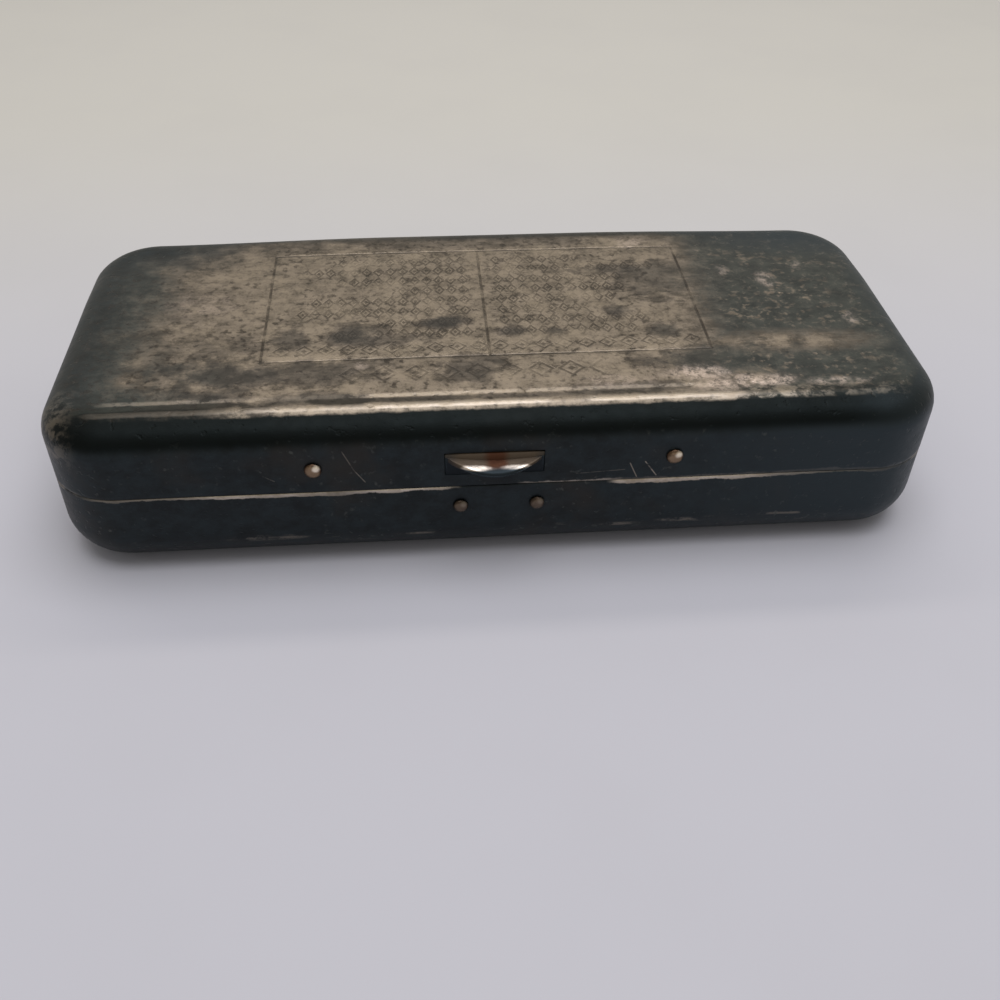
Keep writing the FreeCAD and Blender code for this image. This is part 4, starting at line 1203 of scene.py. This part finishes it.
@dataclass
class LocatingRim:
    """The bright band inside the tray that the lid closes over, in two halves."""

    half_length: float = 50.0
    half_depth: float = 22.2
    corner: float = 8.0
    outer: float = 1.0
    inner: float = 1.5
    step: float = 0.82
    low: float = 6.85
    step_top: float = 10.65
    top: float = 12.05
    catch_gap: tuple[float, float] = (-8.4, 7.4)
    hinge_gap: float = 29.6

    def section(self) -> np.ndarray:
        """Return the band's outline as (out, height), anticlockwise, its top edge rounded."""
        middle = (self.outer + self.inner) / 2
        face, back, lower = middle - self.outer, middle - self.inner, middle - self.step
        return np.array([
            (lower, self.low), (lower, self.step_top - 0.1), (face, self.step_top),
            (face, self.top - 0.2), (face - 0.06, self.top - 0.05), (face - 0.2, self.top),
            (back + 0.2, self.top), (back + 0.06, self.top - 0.05), (back, self.top - 0.2),
            (back, self.low)])

    def half_path(self, side: float) -> tuple[np.ndarray, np.ndarray]:
        """Return the band's middle line on one side and its outward directions."""
        inset = (self.outer + self.inner) / 2
        radius = self.corner - inset
        far = np.array([self.half_length, self.half_depth]) - self.corner
        front_x = abs(self.catch_gap[0] if side < 0 else self.catch_gap[1])
        turn = np.linspace(0, np.pi / 2, 13)[:, None]
        run = np.linspace(front_x, far[0], 24)[:-1, None]
        out_front = np.repeat([[0.0, -1.0]], len(run), axis=0)
        line = [np.concatenate([run, 0 * run - far[1] - radius], 1)]
        ways = [out_front]
        for corner_y, start in ((-far[1], -np.pi / 2), (far[1], 0.0)):
            way = np.concatenate([np.cos(turn + start), np.sin(turn + start)], 1)
            line.append(np.array([far[0], corner_y]) + way * radius)
            ways.append(way)
        line.append(np.array([[self.hinge_gap, far[1] + radius]]))
        ways.append(np.array([[0.0, 1.0]]))
        mirror = np.array([side, 1.0])
        return np.concatenate(line) * mirror, np.concatenate(ways) * mirror

    def dress(self, finish: bpy.types.Material) -> None:
        """Build both halves; the section is carried along each path."""
        for name, side in (("left", -1.0), ("right", 1.0)):
            line, ways = self.half_path(side)
            path = np.concatenate([line, np.zeros((len(line), 1))], 1)
            across = np.concatenate([ways, np.zeros((len(ways), 1))], 1)
            up = np.tile([0.0, 0.0, 1.0], (len(path), 1))
            piece = joined(f"rim_{name}", [swept(path, across, up, self.section())])
            fit(piece, Body.BASE, "bright_brass", finish, f"locating_rim_{name}")


@dataclass
class Hinge:
    """Two leaves inside the back walls, with rolled knuckles on a wire pin outside."""

    length: float = 56.0
    play: float = 0.12
    knuckles: int = 5
    axis_y: float = 22.7
    axis_z: float = 10.85
    leaf: float = 0.5
    barrel: float = 1.1
    wall_y: float = 21.4
    base_low: float = 5.55
    lid_high: float = 15.35
    tab_gap: float = 0.1
    pin_radius: float = 0.5

    def knuckle_line(self, side: float) -> np.ndarray:
        """Return the sheet's middle line: up the wall, out through the notch, round the pin.

        The roll is an arc about the pin from its near side through the outside and back.
        """
        middle = self.wall_y - self.leaf / 2
        radius = self.barrel - self.leaf / 2
        tab = self.tab_gap + self.leaf / 2
        start = math.radians(250)
        first = (self.axis_y + radius * math.cos(start), -radius * -math.sin(start))
        run_out = bent_line([(middle, -tab - 1.5), (middle, -tab), (middle + 0.75, -tab - 0.02),
                             first], 0.2)
        angle = start + np.radians(np.linspace(0, 318, 30))[1:]
        roll = np.stack([self.axis_y + radius * np.cos(angle), radius * np.sin(angle)], 1)
        line = np.concatenate([run_out, roll])
        return line * [1, side] + [0, self.axis_z]

    def leaf_parts(self, side: float, far_z: float, numbers: range) -> list:
        """Return the strip of one leaf and its knuckles, each a closed solid."""
        middle = self.wall_y - self.leaf / 2
        edge = self.axis_z - side * (self.tab_gap + self.leaf / 2)
        strip = np.array([(middle, far_z), (middle, (far_z + edge) / 2), (middle, edge)])
        parts = [bent_sheet(strip, self.leaf, -self.length / 2, self.length / 2)]
        pitch = (self.length + self.play) / self.knuckles
        for number in numbers:
            low = number * pitch - self.length / 2
            parts.append(bent_sheet(self.knuckle_line(side), self.leaf - 0.02, low,
                                    low + pitch - self.play))
        return parts

    def dress(self, brass: bpy.types.Material, steel: bpy.types.Material) -> None:
        """Build the leaves and the pin."""
        base = joined("hinge_leaf_tray", self.leaf_parts(1.0, self.base_low,
                                                         range(0, self.knuckles, 2)))
        fit(base, Body.BASE, "plated_brass", brass, "base_hinge_leaf")
        lid = joined("hinge_leaf_cover", self.leaf_parts(-1.0, self.lid_high,
                                                         range(1, self.knuckles, 2)))
        fit(lid, Body.LID, "plated_brass", brass, "lid_hinge_leaf")
        half, radius = self.length / 2, self.pin_radius
        profile = np.array([(0.05, -half), (radius * 0.7, -half + 0.03), (radius, -half + 0.2),
                            (radius, 0), (radius, half - 0.2), (radius * 0.7, half - 0.03),
                            (0.05, half)])
        pin = joined("hinge_wire", [turned(profile, (0, self.axis_y, self.axis_z), (1, 0, 0), 24)])
        fit(pin, Body.BASE, "steel", steel, "hinge_pin")


@dataclass
class Rivets:
    """A pair of rivets with low domed heads, rubbed a little flat, and pressed tails."""

    name: str
    node: str
    body: Body
    spots: tuple[tuple[float, float], tuple[float, float]]
    head: float
    grip: float
    wall_y: float = -22.2
    crown: float = 0.55
    shank: float = 0.6
    tail: float = 0.9
    tail_rise: float = 0.3

    def profile(self) -> np.ndarray:
        """Return (radius, height) from the tail to the crown; the dome is a flattened arc."""
        angle = np.linspace(0, np.pi / 2, 10)[:-1]
        dome = np.stack([self.head * np.cos(angle) ** 0.8,
                         self.crown * (0.12 + 0.86 * np.sin(angle) ** 0.85)], 1)
        low = -self.grip - self.tail_rise
        return np.concatenate([
            np.array([(0.05, low), (self.tail * 0.8, low), (self.tail, low + 0.1),
                      (self.tail, -self.grip - 0.02), (self.shank, -self.grip),
                      (self.shank, -0.05), (self.head * 0.98, 0.0)]),
            dome, np.array([(0.04, self.crown)])])

    def dress(self, finish: bpy.types.Material) -> None:
        """Build the pair as one piece of two solids."""
        parts = [turned(self.profile(), (x, self.wall_y, z)) for x, z in self.spots]
        fit(joined(self.name, parts), self.body, "copper_rivet", finish, self.node)


@dataclass
class Catch:
    """The leaf spring inside the front wall and the half-moon button that it carries."""

    spring: tuple[float, float] = (-6.8, 5.8)
    spring_wall: float = 0.35
    foot: float = 5.6
    joggle_z: float = 10.5
    top: float = 16.0
    lower_y: float = -21.225
    upper_y: float = -20.625
    bend_from: float = 8.6
    bend_to: float = 14.5
    middle_x: float = -1.0
    half: float = 5.15
    reach: float = 1.85
    low: float = 12.8
    shoulder: float = 14.3
    high: float = 14.85
    tilt: float = 0.13
    foot_height: float = 13.25
    foot_rise: float = 1.15
    crest_dip: float = 0.4
    wall_y: float = -22.2
    back_y: float = -20.9
    flange: tuple[float, float, float, float] = (-7.25, 5.25, 12.1, 15.9)
    fill: tuple[float, float, float, float] = (-6.44, 4.44, 12.51, 15.25)
    fill_y: float = -21.65
    fill_wall: float = 1.0

    def spring_piece(self) -> bpy.types.Object:
        """Return the leaf: a strip up the wall that steps in above the seam."""
        stops = [(self.lower_y, self.foot), (self.lower_y, self.joggle_z - 0.25),
                 (self.upper_y, self.joggle_z + 0.35), (self.upper_y, self.top)]
        bends = bent_line(stops, 0.35)
        rise = np.concatenate([np.linspace(self.foot, bends[1, 1], 8)[:-1]])
        up = np.linspace(bends[-2, 1], self.top, 12)[1:]
        line = np.concatenate([np.stack([0 * rise + self.lower_y, rise], 1), bends[1:-1],
                               np.stack([0 * up + self.upper_y, up], 1)])
        return joined("spring_leaf", [bent_sheet(line, self.spring_wall, *self.spring)])

    def button_section(self, reach: np.ndarray, share: np.ndarray, dish: np.ndarray) -> np.ndarray:
        """Return the button's outline at each reach as (out, height) pairs.

        The corners of the outline are the slot's top, the shoulder, the nose's foot and the
        slot's foot; each edge between them is straight, and the nose's corners are rounded by a
        radius that is at most a third of the reach. The slope sinks by the dish.
        """
        reach = reach[:, None]
        radius = np.minimum(0.34, reach * 0.3)
        slope = (self.high - self.shoulder) / self.reach
        crest = self.high - self.crest_dip * (1 - share[:, None] ** 2) - self.tilt * share[:, None]
        face_out = np.linspace(0, 1, 12)[None] * (reach - radius)
        sunk = dish[:, None] * np.sin(np.pi * np.linspace(0, 1, 12)[None]) ** 1.2
        face = np.stack([face_out, crest - slope * face_out - sunk], 2)
        turn = np.linspace(0, 1, 7)[None, 1:-1]
        first = np.stack([reach - radius, crest - slope * (reach - radius)], 2)
        corner = np.stack([reach, crest - slope * reach], 2)
        below = np.stack([reach, crest - slope * reach - radius], 2)
        nose = ((1 - turn[..., None]) ** 2 * first + 2 * turn[..., None] * (1 - turn[..., None])
                * corner + turn[..., None] ** 2 * below)
        foot = self.foot_height + self.foot_rise * share[:, None] ** 2
        under_first = np.stack([reach, foot + radius], 2)
        under_corner = np.stack([reach, foot], 2)
        under_last = np.stack([reach - radius, foot], 2)
        under = ((1 - turn[..., None]) ** 2 * under_first + 2 * turn[..., None]
                 * (1 - turn[..., None]) * under_corner + turn[..., None] ** 2 * under_last)
        depth = self.wall_y - self.back_y
        flush, behind = 0 * reach, 0 * reach + depth
        stem = np.stack([np.concatenate([flush, flush, behind, behind], 1),
                         np.concatenate([foot, flush + self.low, flush + self.low, crest], 1)], 2)
        return np.concatenate([face, nose, below, under_first, under, under_last, stem], 1)

    def button_piece(self) -> bpy.types.Object:
        """Return the button: its section carried along X, with an arc for its reach.

        The reach at a share s of the half width is that of a circle through both ends and the
        middle. Two shallow dishes sink the slope on either side of the middle.
        """
        share = np.sin(np.linspace(-np.pi / 2, np.pi / 2, 61))
        radius = (self.half ** 2 + self.reach ** 2) / (2 * self.reach)
        reach = np.sqrt(radius ** 2 - (share * self.half) ** 2) - (radius - self.reach)
        reach = np.maximum(reach, 0.02)
        dish = 0.03 * (np.exp(-((np.abs(share) - 0.4) / 0.2) ** 2))
        out_height = self.button_section(reach, share, dish)
        rows, columns = out_height.shape[:2]
        x = np.broadcast_to((self.middle_x + share * self.half)[:, None], (rows, columns))
        points = np.stack([x, self.wall_y - out_height[..., 0], out_height[..., 1]], 2)
        quads = grid_quads(rows, columns, wrap=True)
        caps = [np.arange(columns)[::-1], np.arange(columns) + (rows - 1) * columns]
        x0, x1, z0, z1 = self.flange
        plate = bent_sheet(np.array([(-21.0, z0), (-21.0, (z0 + z1) / 2), (-21.0, z1)]), 0.4,
                           x0, x1, 0.12)
        x0, x1, z0, z1 = self.fill
        filling = bent_sheet(np.array([(self.fill_y, z0), (self.fill_y, (z0 + z1) / 2),
                                       (self.fill_y, z1)]), self.fill_wall, x0, x1, 0.12)
        return joined("thumb_button", [
            (points.reshape(-1, 3), [*quads.tolist(), *[cap.tolist() for cap in caps]]),
            filling, plate])

    def dress(self, steel: bpy.types.Material, silver: bpy.types.Material) -> None:
        """Build both; the spring reaches from the tray's rivets to the button and is hung on no body.
        """
        spring = self.spring_piece()
        fit(spring, None, "spring_steel", steel, "catch_spring")
        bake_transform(spring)
        fit(self.button_piece(), Body.CATCH, "button_silver", silver, "push_button")


@dataclass
class PacketHolder:
    """Two riveted spring clips and a soldered rail that hold the blade packets in the lid."""

    clip_x: tuple[float, float] = (-20.56, 18.76)
    clip_half: float = 4.0
    clip_wall: float = 0.4
    clip_line: tuple = ((-21.2, 15.75), (-21.2, 12.55), (-17.4, 12.55), (-16.78, 12.2))
    rail_line: tuple = ((6.45, 18.7), (6.45, 12.6), (4.8, 12.6))
    rail_half: float = 32.0
    rail_wall: float = 0.5

    def dress(self, steel: bpy.types.Material, brass: bpy.types.Material) -> None:
        """Build each as a strip carried along its bent line."""
        line = bent_line(list(self.clip_line), 0.5)
        for name, x in zip(("left", "right"), self.clip_x):
            strip = bent_sheet(line, self.clip_wall, x - self.clip_half, x + self.clip_half)
            fit(joined(f"clip_{name}", [strip]), Body.LID, "spring_steel", steel,
                f"packet_clip_{name}")
        angle = bent_sheet(bent_line(list(self.rail_line), 0.55), self.rail_wall,
                           -self.rail_half, self.rail_half)
        fit(joined("packet_angle", [angle]), Body.LID, "bright_brass", brass, "packet_rail")


# Linings


def rounded_patch(half_x: float, half_y: float, corner: float, step: float) -> np.ndarray:
    """Return a grid of X, Y over a rounded rectangle.

    In each corner square, a point is pulled towards the arc's centre by the ratio of its longer
    coordinate to its distance from that centre, which turns the square's edge into the arc.
    """
    x, y = np.meshgrid(np.linspace(-half_x, half_x, int(2 * half_x / step) + 1),
                       np.linspace(-half_y, half_y, int(2 * half_y / step) + 1))
    u = np.maximum(np.abs(x) - (half_x - corner), 0)
    v = np.maximum(np.abs(y) - (half_y - corner), 0)
    far = np.hypot(u, v)
    pull = np.where(far > 0, np.maximum(u, v) / np.maximum(far, 1e-9), 1)
    x = np.where(u > 0, np.sign(x) * (half_x - corner + u * pull), x)
    y = np.where(v > 0, np.sign(y) * (half_y - corner + v * pull), y)
    return np.stack([x, y], 2)


def depth_inside(spots: np.ndarray, centre: tuple[float, float], half: tuple[float, float],
                 corner: float) -> np.ndarray:
    """Return how far each spot is inside a rounded rectangle, less than zero outside it."""
    beyond = np.abs(spots - np.array(centre)) - (np.array(half) - corner)
    outside = np.linalg.norm(np.maximum(beyond, 0), axis=-1)
    inside = np.minimum(beyond.max(axis=-1), 0)
    return corner - outside - inside


def smooth(share: np.ndarray) -> np.ndarray:
    """Return the smooth step of a share held between 0 and 1."""
    held = np.clip(share, 0, 1)
    return held * held * (3 - 2 * held)


@dataclass
class RazorBed:
    """Velvet pressed over a moulded card: a trough for the handle, recesses for the head."""

    half_x: float = 48.15
    half_y: float = 20.35
    corner: float = 6.15
    top: float = 10.28
    step: float = 0.36
    cloth: float = 0.35
    hollows: tuple = (
        ((0.0, 13.5), (40.0, 5.7), 4.5, 2.12, 4.0),
        ((-23.7, -6.4), (22.2, 12.8), 2.0, 4.12, 1.4),
        ((23.7, -6.4), (22.2, 12.8), 2.0, 4.12, 1.4),
    )
    wells: tuple = ((-23.7, -6.4), (23.7, -6.4))
    well_radius: float = 4.0
    well_floor: float = 1.82

    def heights(self, spots: np.ndarray) -> np.ndarray:
        """Return the velvet's height: a soft lip round each hollow and a round foot to its wall.

        Inside a hollow the height is its floor plus what a quarter circle leaves near the wall.
        """
        height = np.full(spots.shape[:2], self.top)
        for centre, half, corner, floor, foot in self.hollows:
            inside = depth_inside(spots, centre, half, corner)
            near = np.clip(foot - np.maximum(inside, 0), 0, foot)
            bowl = floor + foot - np.sqrt(foot ** 2 - near ** 2)
            share = smooth((inside + 0.4) / 0.9)
            height = height * (1 - share) + bowl * share
        for centre in self.wells:
            far = np.linalg.norm(spots - np.array(centre), axis=-1)
            share = smooth((self.well_radius + 0.1 - far) / 0.7)
            height = height * (1 - share) + self.well_floor * share
        padded = np.stack([spots[..., 0], spots[..., 1], 0 * height], 2).reshape(-1, 3)
        nap = waviness(padded, 21, 0.05).reshape(height.shape)
        return height - 0.05 - np.abs(nap)

    def dress(self, velvet: bpy.types.Material, card: bpy.types.Material) -> None:
        """Build the velvet over the whole bed and dress the card under it."""
        spots = rounded_patch(self.half_x, self.half_y, self.corner, self.step)
        points = np.concatenate([spots, self.heights(spots)[..., None]], 2)
        quads = grid_quads(*spots.shape[:2])
        piece = finished_mesh("pressed_velvet", points.reshape(-1, 3), quads.tolist())
        piece.data.materials.append(velvet)
        edge_finish(piece, self.cloth, 0.0)
        fit(piece, Body.BASE, "velvet", velvet, "bed_velvet")
        dress_node("bed_core", card)


@dataclass
class LidLining:
    """Satin drawn over a card in the lid, gathered a little along its edges."""

    half_x: float = 46.15
    half_y: float = 18.35
    corner: float = 4.2
    low: float = 17.66
    step: float = 0.42
    cloth: float = 0.3
    gather: float = 0.1
    gather_pitch: float = 3.1

    def dress(self, satin: bpy.types.Material, card: bpy.types.Material) -> None:
        """Build the satin; its gathers are cosines that die away from the edge."""
        spots = rounded_patch(self.half_x, self.half_y, self.corner, self.step)
        x, y = spots[..., 0], spots[..., 1]
        inside = depth_inside(spots, (0, 0), (self.half_x, self.half_y), self.corner)
        flat = np.stack([x, y, 0 * x], 2).reshape(-1, 3)
        sway = waviness(flat, 33, 3.0).reshape(x.shape)
        along = np.where(np.abs(y) / self.half_y > np.abs(x) / self.half_x, x, y)
        pleats = np.cos(2 * np.pi * (along + sway) / self.gather_pitch) * np.exp(-inside / 2.6)
        swell = waviness(flat, 34, 0.12).reshape(x.shape)
        height = self.low + 0.09 + self.gather * (pleats * 0.6) + np.clip(swell, -0.05, 0.1)
        height += 0.12 * smooth(1 - inside / 1.2)
        points = np.stack([x, y, height], 2)
        quads = grid_quads(*x.shape)[:, ::-1]
        piece = finished_mesh("drawn_satin", points.reshape(-1, 3), quads.tolist())
        piece.data.materials.append(satin)
        edge_finish(piece, self.cloth, 0.0)
        fit(piece, Body.LID, "satin", satin, "lid_satin")
        dress_node("lid_card", card)


# The table, the light and the camera


@dataclass
class Studio:
    """A pale table, soft light from above and behind, and the camera."""

    near: str = "#c5c3c8"
    far: str = "#c9c5bc"
    sky: float = 0.37
    fade: tuple[float, float] = (340.0, 800.0)
    eye: tuple[float, float, float] = (-8.6955, -112.6750, 87.8015)
    right: tuple[float, float, float] = (0.99670318, -0.08003436, 0.01331468)
    up: tuple[float, float, float] = (0.04258866, 0.65577181, 0.75375695)
    back: tuple[float, float, float] = (-0.06905785, -0.75070489, 0.65701840)
    lens: float = 38.87

    def mirrored(self, tree: bpy.types.NodeTree) -> bpy.types.NodeSocket:
        """Return 1 where a ray comes from the camera, a mirroring face or through glass."""
        path = add(tree, "LightPath")
        direct = add(tree, "Math", {0: path.outputs["Is Camera Ray"],
                                    1: path.outputs["Is Glossy Ray"]}, operation="MAXIMUM")
        return add(tree, "Math", {0: direct.outputs[0], 1: path.outputs["Is Transmission Ray"]},
                   operation="MAXIMUM").outputs[0]

    def table(self) -> None:
        """Lay the table, warmer behind the case, and fade it into the backdrop far away."""
        half = 900.0
        points = np.array([(-half, -half, 0), (half, -half, 0), (half, half, 0), (-half, half, 0)])
        top = finished_mesh("table_top", points - [0, 0, 0.02], [[0, 1, 2, 3]])
        recipe = Recipe("painted_table")
        tone = recipe.mix(recipe.ramp(recipe.y, -20.0, 120.0), self.near, self.far)
        grain = recipe.noise(30.0, detail=3)
        colour = recipe.mix(recipe.ramp(grain, 0.4, 0.7, 0.0, 0.05), tone, "#a9a6a6")
        distance = recipe.sum("SQRT", recipe.sum(
            "ADD", recipe.sum("MULTIPLY", recipe.x, recipe.x),
            recipe.sum("MULTIPLY", recipe.y, recipe.y)))
        fade = recipe.product(recipe.ramp(distance, *self.fade), self.mirrored(recipe.tree))
        top.data.materials.append(recipe.finish(
            Base_Color=recipe.mix(fade, colour, "#000000"), Roughness=0.85,
            Specular_IOR_Level=recipe.ramp(fade, 0, 1, 0.2, 0.0),
            Emission_Color=linear(self.far), Emission_Strength=fade))

    def lamp(self, name: str, spot: tuple[float, float, float], size: tuple[float, float],
             power: float, colour: str) -> None:
        """Hang a soft lamp of a width and height that faces the case."""
        light = bpy.data.lights.new(name, "AREA")
        light.shape = "RECTANGLE"
        light.size, light.size_y = size[0] * MM, size[1] * MM
        light.energy = power
        light.color = linear(colour)[:3]
        item = bpy.data.objects.new(name, light)
        bpy.context.scene.collection.objects.link(item)
        away = np.array(spot, float)
        away /= np.linalg.norm(away)
        side = np.cross([0, 0, 1], away)
        side /= np.linalg.norm(side)
        turn = np.stack([side, np.cross(away, side), away], 1)
        item.matrix_world = Matrix.LocRotScale(
            Matrix.Translation(np.array(spot) * MM).to_translation(),
            Matrix(turn.tolist()).to_quaternion(), None)

    def sky_light(self) -> None:
        """Give the room an even light, and the camera the far table's colour beyond it."""
        world = bpy.data.worlds.new("room")
        bpy.context.scene.world = world
        world.use_nodes = True
        tree = world.node_tree
        tree.nodes.clear()
        seen = self.mirrored(tree)
        even = add(tree, "Background", {"Color": (1, 1, 1, 1), "Strength": self.sky})
        beyond = add(tree, "Background", {"Color": linear(self.far), "Strength": 1.0})
        both = add(tree, "MixShader", {0: seen, 1: even.outputs[0], 2: beyond.outputs[0]})
        add(tree, "OutputWorld", {"Surface": both.outputs[0]})

    def camera(self) -> None:
        """Set the camera where the photograph was taken."""
        camera = bpy.data.cameras.new("camera")
        camera.lens = self.lens
        camera.sensor_width = 36.0
        camera.clip_start = 0.001
        camera.clip_end = 10.0
        item = bpy.data.objects.new("camera", camera)
        bpy.context.scene.collection.objects.link(item)
        turn = np.stack([self.right, self.up, self.back], 1)
        place = np.eye(4)
        place[:3, :3] = turn
        place[:3, 3] = np.array(self.eye) * MM
        item.matrix_world = Matrix(place.tolist())
        bpy.context.scene.camera = item

    def build(self) -> None:
        """Make the table, lamps, sky and camera."""
        self.table()
        self.lamp("window", (-10.0, 235.0, 400.0), (620.0, 55.0), 0.4, "#fff8ef")
        self.lamp("ceiling", (40.0, -20.0, 520.0), (420.0, 420.0), 1.85, "#f6f8ff")
        self.sky_light()
        self.camera()
        bpy.context.scene.view_settings.view_transform = "Standard"


def main() -> None:
    """Build the case, the light and the camera."""
    logging.basicConfig(level=logging.INFO, format="%(message)s")
    Studio().build()
    plate = WornPlate()
    inner = INNER_BRASS.material()
    brass, steel = BRIGHT_BRASS.material(), SPRING_STEEL.material()
    card = PressedCard().material()
    DrawnHalf(Half.TRAY, "base_shell", Body.BASE, "plated_brass", 10.85, 0.0, 5.4,
              ).dress(plate.material(Half.TRAY), inner)
    DrawnHalf(Half.COVER, "lid_shell", Body.LID, "plated_brass_worn", 10.85, 19.5, 3.6,
              opening=(-6.45, 4.45, 12.5, 15.5), engraving=plate.engraving,
              shoulder=1.8, flank=1.3, flank_lean=70.0, droop=0.4,
              ).dress(plate.material(Half.COVER), inner)
    LocatingRim().dress(brass)
    Hinge().dress(HINGE_BRASS.material(), PIN_STEEL.material())
    low, high = ((-4.77, 8.15), (3.77, 8.15)), ((-20.56, 14.0), (18.76, 14.0))
    Rivets("catch_rivet_pair", "catch_rivets", Body.BASE, low, 0.85, 1.15,
           ).dress(RivetCopper("#62554a", "#3b322a").material("copper_rivets_tray", low,
                                                              0.55, 0.1))
    Rivets("clip_rivet_pair", "clip_rivets", Body.LID, high, 0.95, 1.2,
           ).dress(RivetCopper().material("copper_rivets_cover", high, 0.55, 1.0))
    Catch().dress(steel, ThumbSilver().material())
    PacketHolder().dress(steel, brass)
    RazorBed().dress(CutVelvet().material(), card)
    LidLining().dress(LiningSatin().material(), card)


if __name__ == "__main__":
    main()
